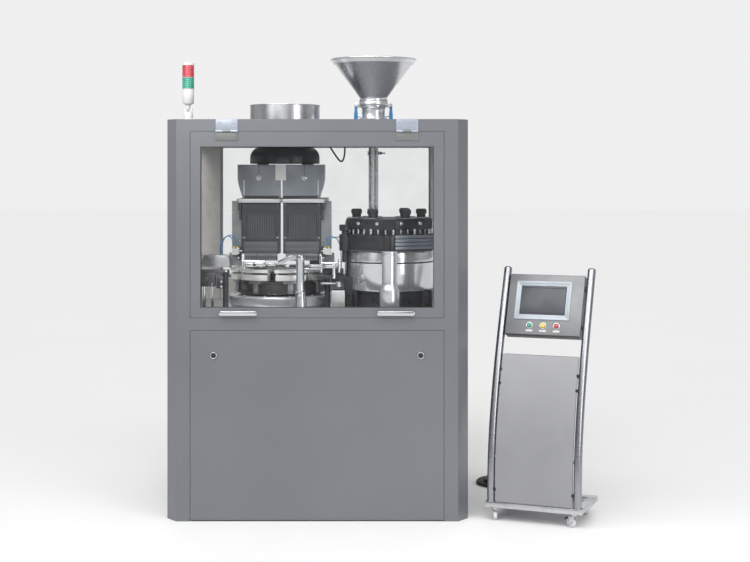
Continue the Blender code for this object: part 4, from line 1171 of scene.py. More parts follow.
def make_powder_feed():
    """The funnel with its rim, clamped ferrules and two blue levers, and the tube down to the bowl."""
    place = upright(POWDER)
    low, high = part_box("powder_funnel")
    rim_radius, neck = 0.2165, 0.068
    top, bottom = high[2], low[2]
    rim = [
        (rim_radius - 0.0045 + 0.0045 * math.cos(a), top - 0.0045 + 0.0045 * math.sin(a))
        for a in (math.radians(-150 + 20 * i) for i in range(16))
    ]
    form = Form()
    form.turn(
        [(neck - 0.0025, bottom), (neck + 0.004, bottom), (neck + 0.004, bottom + 0.0035),
         (neck, bottom + 0.005),
         (neck, bottom + 0.013), (neck + 0.004, bottom + 0.020), *rim, (rim_radius - 0.011, top - 0.006),
         (neck + 0.0015, bottom + 0.020), (neck - 0.0025, bottom + 0.013)],
        place, 128, closed=True,
    )
    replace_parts(form.piece("funnel_cone", SPUN_POWDER, "cabinet", "polished_steel"), "powder_funnel")
    slope = (rim_radius - neck) / (top - bottom - 0.020)
    # A paler band of the same steel just under the rim: painted highlight of the rim
    band = Form()
    band.turn(
        [(rim_radius - 0.006, top - 0.0060), (rim_radius - 0.0015, top - 0.0065),
         (rim_radius - 0.022 * slope + 0.0005, top - 0.0250),
         (rim_radius - 0.022 * slope - 0.004, top - 0.0255)],
        place, 128, closed=True,
    )
    band.piece("funnel_rim_highlight_band", RIM_HIGHLIGHT_STEEL, "cabinet", "polished_steel")
    low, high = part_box("funnel_clamp")
    z0, z1 = low[2], high[2]
    bore = 0.0225
    form = Form()
    form.turn(
        [(bore, z0), (0.0700, z0), (0.0712, z0 + 0.002), (0.0712, z0 + 0.010), (0.0640, z0 + 0.0115),
         (0.0640, z0 + 0.0135), (0.0700, z0 + 0.015), (0.0700, z0 + 0.0225), (0.0590, z0 + 0.027),
         (0.0575, z0 + 0.040), (0.0575, z1 - 0.046), (0.0600, z1 - 0.036), (0.0660, z1 - 0.031),
         (0.0700, z1 - 0.030),
         (0.0700, z1 - 0.0255), (0.0745, z1 - 0.0240), (0.0760, z1 - 0.0215), (0.0760, z1 - 0.0085),
         (0.0745, z1 - 0.0060), (0.0690, z1 - 0.0045), (0.0690, z1), (bore, z1)],
        place, 96, closed=True,
    )
    ferrules = form.piece("funnel_ferrules", SPUN_POWDER, "cabinet", "polished_steel")
    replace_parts(ferrules, "funnel_clamp")
    lugs = Form()
    for side in (-1, 1):
        x0, x1 = sorted((POWDER.x + side * 0.068, POWDER.x + side * 0.090))
        for y in (-0.0155, 0.0125):
            lugs.block((x0, POWDER.y + y - 0.0015, 1.961), (x1, POWDER.y + y + 0.0015, 1.983), 0.0008)
        lugs.rod(
            (POWDER.x + side * 0.088, POWDER.y - 0.018, 1.970),
            (POWDER.x + side * 0.088, POWDER.y + 0.018, 1.970), 0.003,
            round_by=0.0005, steps=16,
        )
        lugs.rod(
            (POWDER.x + side * 0.050, POWDER.y, 1.918), (POWDER.x + side * 0.0765, POWDER.y, 1.918), 0.0070,
            0.0055, 0.001,
        )
    lugs.piece("funnel_clamp_lugs", POLISHED, "cabinet", "polished_steel")
    for side, name in ((-1, "clamp_lever_left"), (1, "clamp_lever_right")):
        low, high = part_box(name)
        lever = Form()
        x = (low[0] + high[0]) / 2
        lever.prism(
            [(x - 0.0095, 1.9015), (x - 0.0060, 1.9000), (x + 0.0060, 1.9000), (x + 0.0095, 1.9015),
             (x + 0.0095, 1.930),
             (x + 0.0072, 1.945), (x + 0.0075, 1.972), (x + 0.0050, 1.9775), (x - 0.0050, 1.9775),
             (x - 0.0075, 1.972),
             (x - 0.0072, 1.945), (x - 0.0095, 1.930)],
            low[1] + 0.0005, high[1] - 0.0005, plane="XZ", round_by=0.0022,
        )
        for z in (1.912, 1.922):
            lever.block(
                (x - 0.0098, low[1] + 0.001, z - 0.0015), (x + 0.0098, high[1] - 0.001, z + 0.0015), 0.0008,
            )
        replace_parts(lever.piece(f"blue_lever_{name[12:]}", BLUE, name, "blue_plastic"), name)
    low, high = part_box("powder_tube")
    radius = 0.0245
    form = Form()
    form.turn(
        [(radius, high[2]), (radius, low[2]), (radius - 0.002, low[2]), (radius - 0.002, high[2])], place,
        64, closed=True,
    )
    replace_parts(form.piece("powder_pipe", SPUN_POWDER, "cabinet", "polished_steel"), "powder_tube")
    clamp = Form()
    clamp.turn(
        [(radius, 1.722), (radius + 0.0085, 1.7225), (radius + 0.0085, 1.7255), (radius + 0.0045, 1.7265),
         (radius + 0.0045, 1.7355), (radius + 0.0085, 1.7365), (radius + 0.0085, 1.7395), (radius, 1.740)],
        place, 56, closed=True,
    )
    clamp.turn(
        [(radius, 1.800), (radius + 0.010, 1.8005), (radius + 0.010, 1.8255), (radius, 1.826)], place, 56,
        closed=True,
    )
    clamp.piece("powder_pipe_clamp", POLISHED, "cabinet", "polished_steel")
    lever = Form()
    x = POWDER.x + radius + 0.006
    lever.block((x, POWDER.y - 0.014, 1.724), (x + 0.012, POWDER.y - 0.004, 1.738), 0.002)
    lever.block((x + 0.007, POWDER.y - 0.012, 1.728), (x + 0.030, POWDER.y - 0.006, 1.734), 0.002)
    lever.piece("powder_pipe_clamp_lever", BLACK, "cabinet", "black_plastic")


def make_roof_lead():
    """A sensor lead held at both ends: from a gland in the roof to the housing over the hoppers."""
    lead = Form()
    lead.tube(
        [(0.122, -0.300, 1.8270), (0.124, -0.300, 1.775), (0.122, -0.300, 1.720), (0.112, -0.302, 1.690),
         (0.098, -0.304, 1.692), (0.080, -0.304, 1.715), (0.060, -0.302, 1.745), (0.040, -0.300, 1.775),
         (0.020, -0.300, 1.802), (0.010, -0.300, 1.827)], 0.0042, 10, 8,
    )
    for x in (0.122, 0.010):
        lead.rod((x, -0.300, 1.8280), (x, -0.300, 1.808), 0.0085, 0.0070, 0.001, 20)
    lead.piece("roof_sensor_lead", RUBBER, "cabinet", "black_rubber")


# ---------------------------------------------------------------- capsule feeding station

FUNNEL_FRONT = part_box("capsule_funnels")[0][1] + 0.003
FUNNEL_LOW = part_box("capsule_funnels")[0][2]
FUNNEL_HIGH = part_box("capsule_funnels")[1][2]


def feed_span(side, near, far):
    """The X places of a span on one side of the feed's middle, the smaller first."""
    return sorted((FEED_X + side * near, FEED_X + side * far))


def make_hoppers():
    """Smoked hoppers: a curved outer shell, an inner box with a dark foot, and slotted knobs in front. The gate
    slot lines and the knobs' slot lines are black bars: painted shade.
    """
    shell = Form()
    inner = Form()
    foot = Form()
    for side in (-1, 1):
        outline = [(0.0065, FUNNEL_LOW), (0.188, FUNNEL_LOW)]
        outline += [
            (0.190 + 0.0225 * math.sin(math.pi / 2 * t), FUNNEL_LOW + 0.010 + 0.100 * t)
            for t in (i / 8 for i in range(9))
        ]
        outline += [(0.2125, FUNNEL_HIGH), (0.0065, FUNNEL_HIGH)]
        points = [(FEED_X + side * x, z) for x, z in outline]
        shell.prism(points, FUNNEL_FRONT, FUNNEL_FRONT + 0.004, plane="XZ", round_by=0.0008)
        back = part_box("capsule_funnels")[1][1]
        shell.prism(points, back - 0.004, back, plane="XZ", round_by=0.0008)
        for (x0, z0), (x1, z1) in zip(outline[1:-2], outline[2:-1]):
            wall = [
                (FEED_X + side * x0, z0), (FEED_X + side * x1, z1), (FEED_X + side * (x1 - 0.004), z1),
                (FEED_X + side * (x0 - 0.004), z0),
            ]
            shell.prism(wall, FUNNEL_FRONT + 0.003, back - 0.003, plane="XZ")
        near, far = feed_span(side, 0.0065, 0.0105)
        shell.block((near, FUNNEL_FRONT + 0.003, FUNNEL_LOW), (far, back - 0.003, FUNNEL_HIGH), 0.0)
        near, far = FEED_X + side * 0.014, FEED_X + side * 0.176
        top, low = FUNNEL_LOW + 0.092, FUNNEL_LOW + 0.014
        for x0, x1, z0, z1 in ((near, far, low, top), (far, FEED_X + side * 0.188, low - 0.004, top + 0.002)):
            a, b = sorted((x0, x1))
            inner.block((a, FUNNEL_FRONT + 0.0075, z0), (b, FUNNEL_FRONT + 0.011, z1), 0.0010)
        a, b = feed_span(side, 0.010, 0.178)
        foot.block(
            (a, FUNNEL_FRONT - 0.0008, FUNNEL_LOW + 0.0005), (b, FUNNEL_FRONT + 0.006, FUNNEL_LOW + 0.013),
            0.0015,
        )
        foot.block(
            (a, FUNNEL_FRONT + 0.012, FUNNEL_LOW + 0.0005), (b, back - 0.006, FUNNEL_LOW + 0.006), 0.001,
        )
    bars = Form()
    for side in (-1, 1):
        x0, x1 = feed_span(side, 0.1770, 0.1845)
        bars.block(
            (x0, FUNNEL_FRONT - 0.0010, FUNNEL_LOW + 0.018),
            (x1, FUNNEL_FRONT + 0.0030, FUNNEL_LOW + 0.088), 0.0015,
        )
    bars.piece("hopper_side_bars", PALE_PLASTIC, "cabinet", "white_plastic")
    hopper = shell.piece("hopper_shells", HOPPER, "cabinet", "smoked_plastic")
    inner.piece("hopper_inner_boxes", SMOKED_DEEP, "cabinet", "smoked_plastic")
    foot.piece("hopper_feet", BLACK, "cabinet", "black_plastic")
    bridge = Form()
    bridge.block(
        (FEED_X - 0.028, FUNNEL_FRONT - 0.0030, 1.595), (FEED_X + 0.024, FUNNEL_FRONT + 0.0010, 1.672),
        0.0012,
    )
    for x in (-0.018, 0.014):
        bridge.rod(
            (FEED_X + x, FUNNEL_FRONT - 0.0042, 1.660), (FEED_X + x, FUNNEL_FRONT - 0.002, 1.660), 0.0035,
            round_by=0.0006, steps=16,
        )
    bridge.piece("hopper_bridge_plate", WHITE, "cabinet", "white_plastic")
    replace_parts(hopper, "capsule_funnels")
    knobs = Form()
    # Black bars: painted shade of the gate slot lines and of the knobs' screw slot lines
    slot_shade = Form()
    for x in (FEED_X - 0.109, FEED_X + 0.113):
        knobs.rod(
            (x, FUNNEL_FRONT - 0.007, 1.607), (x, FUNNEL_FRONT + 0.001, 1.607), 0.0092, round_by=0.0020,
            steps=28,
        )
        knobs.rod(
            (x, FUNNEL_FRONT - 0.0018, 1.607), (x, FUNNEL_FRONT + 0.0005, 1.607), 0.0125, round_by=0.0006,
            steps=28,
        )
        slot_shade.block(
            (x - 0.0013, FUNNEL_FRONT - 0.0006, 1.620),
            (x + 0.0013, FUNNEL_FRONT + 0.0035, FUNNEL_HIGH - 0.004), 0.0004,
        )
        slot_shade.block(
            (x - 0.0075, FUNNEL_FRONT - 0.0074, 1.6060), (x + 0.0075, FUNNEL_FRONT - 0.0060, 1.6080),
            0.0002, turn=0.8, axis="Y",
        )
    knobs.piece("hopper_gate_knobs", POLISHED, "cabinet", "polished_steel")
    slot_shade.piece("hopper_gate_slot_shade", BLACK, "cabinet", "black_plastic")
    necks = Form()
    for x in (FEED_X - 0.092, FEED_X + 0.128):
        necks.block((x - 0.028, -0.290, FUNNEL_HIGH - 0.012), (x + 0.028, -0.235, 1.6765), 0.002)
        necks.block((x - 0.022, -0.284, FUNNEL_HIGH - 0.040), (x + 0.022, -0.241, FUNNEL_HIGH - 0.010), 0.002)
    necks.piece("drum_outlet_necks", CHARCOAL, "cabinet", "charcoal_plastic")


def make_flanges():
    """The two light bars under the hoppers, their end brackets and the dark brackets beside them."""
    form = Form()
    dark = Form()
    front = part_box("feeder_column")[0][1]
    for side in (-1, 1):
        near, far = feed_span(side, 0.008, 0.209)
        form.block((near, front - 0.0035, 1.4860), (far, front + 0.004, 1.5035), 0.0018)
        for x in (near + 0.012, far - 0.012):
            form.rod(
                (x, front - 0.0052, 1.4948), (x, front - 0.003, 1.4948), 0.0036, round_by=0.0006, steps=16,
            )
        near, far = feed_span(side, 0.1955, 0.2115)
        dark.block((near, front + 0.008, 1.448), (far, front + 0.030, 1.4845), 0.002)
        near, far = feed_span(side, 0.196, 0.206)
        dark.block((near, front + 0.010, 1.40), (far, front + 0.028, 1.450), 0.002)
    form.piece("feeder_flange_bars", ALUMINIUM, "cabinet", "aluminium")
    dark.piece("feeder_end_brackets", CHARCOAL, "cabinet", "charcoal_plastic")


def make_magazine_fronts():
    """Slotted front plates with screws, lower plates with a row of hole openings, and the comb of fingers. A
    thin black sheet behind the ribs paints the channels' shade, and black discs paint the shade in the hole
    openings.
    """
    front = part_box("magazine_left")[0][1]
    plates, ribs, slot_shade, lower, hole_shade, comb, screws = (Form() for _ in range(7))
    for side in (-1, 1):
        near, far = feed_span(side, 0.0085, 0.1935)
        plates.block((near, front - 0.0030, 1.4270), (far, front, 1.4840), 0.0012)
        plates.block((near, front - 0.0030, 1.2990), (far, front, 1.3240), 0.0012)
        for a, b in ((near, near + 0.022), (far - 0.020, far)):
            plates.block((a, front - 0.0030, 1.3230), (b, front, 1.4280), 0.0006)
        start, end, count = near + 0.022, far - 0.020, 17
        pitch = (end - start) / count
        for i in range(1, count):
            x = start + i * pitch
            ribs.block(
                (x - 0.0021, front - 0.0026, 1.3235), (x + 0.0021, front - 0.0002, 1.4275), 0.0005,
                segments=1,
            )
        # A thin black sheet behind the ribs: painted shade of the channels between them
        slot_shade.block((start - 0.001, front - 0.0004, 1.3230), (end + 0.001, front - 0.0001, 1.4280), 0.0)
        for x in (near + 0.011, far - 0.010):
            screws.rod(
                (x, front - 0.0048, 1.3150), (x, front - 0.0025, 1.3150), 0.0040, round_by=0.0008, steps=18,
            )
            screws.rod(
                (x, front - 0.0044, 1.4750), (x, front - 0.0025, 1.4750), 0.0026, round_by=0.0005, steps=14,
            )
        lower.block((near + 0.010, front - 0.0075, 1.2430), (far - 0.010, front - 0.0005, 1.2960), 0.0012)
        lower.block((near + 0.013, front - 0.0095, 1.2470), (far - 0.013, front - 0.0070, 1.2640), 0.0008)
        # Black discs: painted shade of the hole openings in the lower plates
        for i in range(20):
            x = near + 0.020 + i * (far - near - 0.040) / 19
            hole_shade.rod((x, front - 0.0079, 1.2700), (x, front - 0.0070, 1.2700), 0.0017, steps=10)
        for i in range(17):
            x = near + 0.020 + i * (far - near - 0.040) / 16
            comb.block((x - 0.0022, front - 0.0050, 1.2035), (x + 0.0022, front + 0.0060, 1.2440), 0.0010)
            comb.block((x - 0.0030, front - 0.0058, 1.2035), (x + 0.0030, front - 0.0010, 1.2110), 0.0010)
        comb.block((near + 0.012, front - 0.0020, 1.2260), (far - 0.012, front + 0.0040, 1.2340), 0.0010)
    plates.piece("magazine_face_plates", CHARCOAL, "magazines", "charcoal_plastic")
    slot_shade.piece("magazine_channel_shade", BLACK, "magazines", "black_plastic")
    ribs.piece("magazine_channel_ribs", CHARCOAL_LIGHT, "magazines", "charcoal_plastic")
    lower.piece("magazine_lower_plates", CHARCOAL_LIGHT, "magazines", "charcoal_plastic")
    hole_shade.piece("magazine_gate_hole_shade", BLACK, "magazines", "black_plastic")
    comb.piece("magazine_comb_fingers", ALUMINIUM_DARK, "magazines", "aluminium")
    screws.piece("magazine_screws", POLISHED, "magazines", "polished_steel")


def make_air_fittings():
    """White pneumatic blocks with yellow collars at both side plates, and the blue tubes that leave them."""
    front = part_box("feeder_column")[0][1]
    blocks, collars, tubes = Form(), Form(), Form()
    y = front - 0.002
    for x0 in (-0.4290, 0.0180):
        blocks.block((x0, y - 0.010, 1.236), (x0 + 0.038, y + 0.030, 1.249), 0.0015)
        blocks.block((x0 + 0.002, y - 0.008, 1.2495), (x0 + 0.036, y + 0.028, 1.2610), 0.0015)
        for i in range(2):
            x = x0 + 0.011 + 0.016 * i
            blocks.rod((x, y, 1.2600), (x, y, 1.2660), 0.0058, round_by=0.0008, steps=20)
            collars.rod((x, y, 1.2655), (x, y, 1.2735), 0.0046, round_by=0.0012, steps=20)
    for i in range(2):
        x = -0.4180 + 0.016 * i
        drop = -0.477 - 0.008 * i
        tubes.tube(
            [(x, y, 1.268), (x - 0.001, y, 1.290), (x - 0.012, y, 1.315), (x - 0.032, y, 1.3240 + 0.004 * i),
             (drop + 0.010, y, 1.305), (drop, y + 0.004, 1.265), (drop + 0.001, y + 0.010, 1.225),
             (drop + 0.004, y + 0.02, 1.17)],
            0.0023, 8, 6,
        )
    start = 0.0290
    tubes.tube(
        [(start, y, 1.268), (start, y, 1.292), (start + 0.010, y, 1.316), (start + 0.032, y, 1.3205),
         (start + 0.058, y, 1.306), (start + 0.073, y, 1.270), (start + 0.077, y, 1.220),
         (start + 0.078, y, 1.150),
         (start + 0.070, y, 1.118)], 0.0023, 8, 6,
    )
    start = 0.0450
    tubes.tube(
        [(start, y, 1.268), (start + 0.001, y, 1.290), (start + 0.012, y, 1.312),
         (start + 0.038, y + 0.004, 1.3180),
         (start + 0.058, y + 0.02, 1.314), (start + 0.070, y + 0.05, 1.290),
         (start + 0.072, y + 0.08, 1.250)], 0.0023, 8, 6,
    )
    blocks.piece("air_fitting_blocks", WHITE, "cabinet", "white_plastic")
    collars.piece("air_fitting_collars", YELLOW, "cabinet", "yellow_lens")
    tubes.piece("air_tubes", BLUE, "cabinet", "blue_plastic")


def make_side_plate_details():
    """Screws and a dark mechanism beside each magazine, with the levers under them."""
    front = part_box("feeder_column")[0][1]
    plate_front = -0.270
    screws, dark, bars = Form(), Form(), Form()
    for side in (-1, 1):
        outer, inner = FEED_X + side * 0.236, FEED_X + side * 0.205
        for x in (outer, inner):
            for z in (1.437, 1.30):
                screws.rod(
                    (x, plate_front - 0.0025, z), (x, plate_front, z), 0.0036, round_by=0.0006, steps=16,
                )
        x0, x1 = feed_span(side, 0.1945, 0.2140)
        for z in (1.262, 1.238, 1.216):
            dark.block((x0, front + 0.004, z - 0.009), (x1, front + 0.030, z + 0.009), 0.003)
            screws.rod(
                (FEED_X + side * 0.208, front + 0.002, z), (FEED_X + side * 0.208, front + 0.006, z), 0.0048,
                round_by=0.0008, steps=18,
            )
        x0, x1 = feed_span(side, 0.198, 0.258)
        bars.block((x0, -0.268, 1.1760), (x1, -0.236, 1.2290), 0.002)
        bars.rod(
            (FEED_X + side * 0.252, -0.262, 1.166), (FEED_X + side * 0.252, -0.262, 1.240), 0.0055,
            round_by=0.001,
        )
    screws.piece("feeder_screws", POLISHED, "cabinet", "polished_steel")
    dark.piece("feeder_cam_levers", BLACK, "cabinet", "black_plastic")
    bars.piece("feeder_lower_bars", ALUMINIUM_DARK, "cabinet", "aluminium")


# ---------------------------------------------------------------- turret

def make_turret_ring():
    """The polished ring under the turret, with its lip, and the table flange below it."""
    low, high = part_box("turret_base")
    place = upright(TURRET)
    form = Form()
    form.turn(
        [(0.060, high[2]), (0.244, high[2]), (0.2520, high[2] - 0.0020), (0.2550, high[2] - 0.0060),
         (0.2550, 0.990),
         (0.2535, 0.9865), (0.2475, 0.9840), (0.2475, low[2] + 0.008), (0.2540, low[2] + 0.006),
         (0.2540, low[2]),
         (0.060, low[2])],
        place, 128, closed=True,
    )
    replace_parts(form.piece("turret_ring", SPUN_TURRET, "cabinet", "polished_steel"), "turret_base")
    bolts = Form()
    for i in range(12):
        a = math.radians(15 + 30 * i)
        x, y = about(TURRET, 0.232, a)
        bolts.rod((x, y, high[2] - 0.001), (x, y, high[2] + 0.004), 0.0052, round_by=0.0008, steps=18)
    bolts.piece("turret_ring_bolts", BRUSHED, "cabinet", "brushed_steel")


STATIONS = 8
FIRST_STATION = math.radians(-74.2)


def make_turret():
    """The dark rotor and its stations: two dies on a bracket, with two guide rods and die bushes."""
    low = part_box("turret_drum")[0]
    place = upright(TURRET)
    body = Form()
    body.turn(
        [(0.0, low[2]), (0.055, low[2]), (0.055, 1.0405), (0.205, 1.0405), (0.2120, 1.0430), (0.2150, 1.0480),
         (0.2150, 1.0560), (0.2100, 1.0580), (0.2100, 1.0920), (0.2150, 1.0940), (0.2150, 1.1040),
         (0.2050, 1.1070),
         (0.1500, 1.1100), (0.1450, 1.1500), (0.1000, 1.1580), (0.0600, 1.1600), (0.0, 1.1600)],
        place, 112,
    )
    rotor = body.piece("turret_rotor", DARK_STEEL, "turret", "dark_steel")
    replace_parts(rotor, "turret_drum")
    upper, lower, brackets, rods, dies = (Form() for _ in range(5))
    half = math.radians(360 / STATIONS / 2) * 0.84
    for index in range(STATIONS):
        angle = FIRST_STATION + 2 * math.pi * index / STATIONS

        def sector(inner, outer, spread):
            points = []
            for radius, way in ((outer, 1), (inner, -1)):
                for i in range(9):
                    a = angle + way * spread * (i / 4 - 1)
                    points.append(about(TURRET, radius, a))
            return points

        def out(radius, across=0.0):
            return (
                TURRET.x + radius * math.cos(angle) - across * math.sin(angle),
                TURRET.y + radius * math.sin(angle) + across * math.cos(angle),
            )

        upper.prism(sector(0.176, 0.2495, half), 1.1485, 1.1628, round_by=0.0014)
        lower.prism(sector(0.186, 0.2455, half * 0.94), 1.1105, 1.1385, round_by=0.0016)
        turn = Matrix.Translation(place) @ Matrix.Rotation(angle, 4, "Z")
        bracket = Form(turn)
        bracket.block((0.2105, -0.034, 1.0955), (0.2330, 0.034, 1.1100), 0.0020)
        bracket.block((0.2105, -0.013, 1.0480), (0.2260, 0.013, 1.0960), 0.0025)
        bracket.rod((0.2165, 0.0, 1.060), (0.2285, 0.0, 1.060), 0.0058, round_by=0.0010, steps=20)
        brackets.add(bracket)
        for across in (-0.060, 0.060):
            x, y = out(0.200, across)
            rods.rod((x, y, 1.1090), (x, y, 1.1490), 0.0058, steps=18)
        for row in (0.212, 0.232):
            for i in range(7):
                x, y = out(row - 0.0026 * (i - 3) ** 2, (i - 3) * 0.0230)
                dies.rod((x, y, 1.1620), (x, y, 1.1634), 0.0062, round_by=0.0003, steps=16)
    upper.piece("turret_upper_dies", DIE_METAL, "turret", "aluminium")
    lower.piece("turret_lower_dies", DIE_METAL, "turret", "aluminium")
    brackets.piece("turret_brackets", ALUMINIUM_DARK, "turret", "aluminium")
    rods.piece("turret_guide_rods", POLISHED, "turret", "polished_steel")
    dies.piece("turret_die_bushes", BRUSHED, "turret", "brushed_steel")


def make_arm_post():
    """A polished post on a conical foot, with a set-screw knob, carrying the flat bent arm."""
    x, y = ARM_X, ARM_Y
    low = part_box("arm_post")[0]
    form = Form()
    form.turn(
        [(0.0, low[2]), (0.034, low[2]), (0.034, 0.986), (0.0330, 0.990), (0.0255, 1.052), (0.0245, 1.058),
         (0.0245, 1.066), (0.0200, 1.069), (0.0200, 1.208), (0.0218, 1.211), (0.0218, 1.236),
         (0.0205, 1.2395),
         (0.0, 1.2400)],
        (x, y, 0.0), 64,
    )
    form.prism(
        [(x - 0.010, 1.2380), (-0.130, 1.2380), (-0.150, 1.2320), (-0.1915, 1.2110), (-0.1915, 1.1990),
         (-0.1860, 1.1965), (-0.1720, 1.1968), (-0.1450, 1.2110), (-0.128, 1.2175), (x - 0.010, 1.2200)],
        y - 0.0125, y + 0.0125, plane="XZ", round_by=0.0018,
    )
    post = form.piece("transfer_arm_post", SPUN_ARM, "cabinet", "polished_steel")
    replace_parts(post, "arm_post")
    knob = Form()
    knob.rod((x, y - 0.037, 1.047), (x, y - 0.023, 1.047), 0.0095, round_by=0.0018, steps=28)
    knob.rod((x, y - 0.0385, 1.047), (x, y - 0.0365, 1.047), 0.0045, round_by=0.0006, steps=6)
    knob.rod((-0.180, y - 0.0155, 1.2040), (-0.180, y - 0.0120, 1.2040), 0.0045, round_by=0.0008, steps=18)
    knob.piece("transfer_arm_screws", POLISHED, "cabinet", "polished_steel")


def make_turret_surroundings():
    """Fixed tools over and beside the turret: ejector heads, link bars, cylinders and small columns."""
    steel, dark, light = Form(), Form(), Form()
    front = TURRET.y - 0.262
    for x0, x1, z0, z1 in (
        (-0.350, -0.300, 1.178, 1.196), (-0.318, -0.255, 1.180, 1.199), (-0.248, -0.206, 1.182, 1.196),
        (-0.052, 0.020, 1.176, 1.190), (0.028, 0.085, 1.172, 1.186),
    ):
        steel.block((x0, front + 0.03, z0), (x1, front + 0.055, z1), 0.003)
    for x, z, length in (
        (-0.340, 1.206, 0.032), (-0.284, 1.204, 0.026), (-0.030, 1.168, 0.044), (0.050, 1.196, 0.040),
    ):
        steel.rod((x - length, front + 0.045, z), (x + length, front + 0.045, z), 0.0058, round_by=0.001)
    for x, low, high, radius in (
        (-0.360, 1.170, 1.205, 0.0065), (0.012, 1.150, 1.230, 0.0075), (0.072, 1.120, 1.200, 0.0090),
        (0.098, 1.150, 1.214, 0.0060),
    ):
        steel.rod((x, front + 0.050, low), (x, front + 0.050, high), radius, round_by=0.0012)
    for x, y, low, high in (
        (0.040, -0.345, 0.948, 1.172), (0.092, -0.300, 0.948, 1.165), (-0.455, -0.335, 0.948, 1.150),
    ):
        dark.rod((x, y, low), (x, y, high), 0.0140, round_by=0.002)
        steel.rod((x, y, high - 0.002), (x, y, high + 0.012), 0.0090, round_by=0.002)
    dark.block((0.020, -0.370, 1.140), (0.118, -0.290, 1.166), 0.004)
    dark.block((0.058, -0.330, 1.098), (0.120, -0.270, 1.140), 0.004)
    dark.block((-0.010, -0.395, 1.122), (0.062, -0.372, 1.139), 0.003)
    steel.block((0.010, -0.398, 1.094), (0.082, -0.376, 1.103), 0.002)
    light.block((0.062, -0.430, 0.9485), (0.126, -0.370, 1.0680), 0.004)
    dark.block((0.066, -0.428, 1.0700), (0.124, -0.372, 1.0800), 0.002)
    steel.rod((0.094, -0.400, 1.0800), (0.094, -0.400, 1.1100), 0.0140, 0.0120, 0.003)
    light.piece("transfer_cylinder_body", ALUMINIUM, "cabinet", "aluminium")
    steel.piece("turret_side_tools", POLISHED, "cabinet", "polished_steel")
    dark.piece("turret_side_brackets", CHARCOAL, "cabinet", "charcoal_plastic")


def make_discharge():
    """The discharge chute: a folded tray with a sloping hood, its clamp block, columns and small rods."""
    low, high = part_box("discharge_chute")
    sheet, dark, steel = Form(), Form(), Form()
    x0, x1, y0, y1 = low[0], high[0], low[1], high[1]
    sheet.prism(
        [(x0, 1.2140), (x0, 1.2310), (x0 + 0.085, 1.2310), (x0 + 0.060, 1.1990), (x0 + 0.004, 1.1990)],
        y0 + 0.001, y1, plane="XZ", round_by=0.001,
    )
    sheet.prism(
        [(x0 + 0.088, 1.2316), (x1 - 0.030, 1.2316), (x1 - 0.006, 1.2240), (x1, 1.2120), (x1, 1.1730),
         (x0 + 0.090, 1.1730),
         (x0 + 0.062, 1.1900)],
        y0 + 0.004, y1 - 0.002, plane="XZ", round_by=0.0012,
    )
    sheet.block((x0, y0 + 0.001, 1.1725), (x0 + 0.10, y1, 1.1760), 0.0010)
    chute = sheet.piece("discharge_hood", BRUSHED, "cabinet", "brushed_steel")
    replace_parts(chute, "discharge_chute")
    dark.block((-0.580, y0 + 0.004, 1.0800), (-0.505, y0 + 0.050, 1.1480), 0.004)
    dark.block((-0.590, y0 + 0.012, 1.1350), (-0.440, y0 + 0.060, 1.1600), 0.003)
    dark.block((-0.500, y0 + 0.010, 1.0700), (-0.452, y0 + 0.046, 1.1300), 0.004)
    steel.rod((-0.560, y0 + 0.020, TABLE_TOP), (-0.560, y0 + 0.020, 1.0820), 0.0090, round_by=0.001)
    steel.rod((-0.520, y0 + 0.026, TABLE_TOP), (-0.520, y0 + 0.026, 1.0820), 0.0065, round_by=0.001)
    steel.rod((-0.602, y0 + 0.026, TABLE_TOP), (-0.602, y0 + 0.026, 1.0550), 0.0070, round_by=0.001)
    for x, z in ((-0.545, 1.116), (-0.520, 1.090), (-0.474, 1.104), (-0.474, 1.080)):
        steel.rod((x, y0, z), (x, y0 + 0.008, z), 0.0060, round_by=0.001, steps=20)
    steel.block((-0.6200, y0 + 0.006, 1.0040), (-0.5860, y0 + 0.036, 1.0200), 0.003)
    steel.block((-0.640, y0 + 0.060, TABLE_TOP + 0.0005), (-0.450, y1 - 0.004, TABLE_TOP + 0.012), 0.002)
    steel.piece("discharge_columns", POLISHED, "cabinet", "polished_steel")
    dark.piece("discharge_clamps", DARK_ALLOY, "cabinet", "dark_steel")


# ---------------------------------------------------------------- dosing station

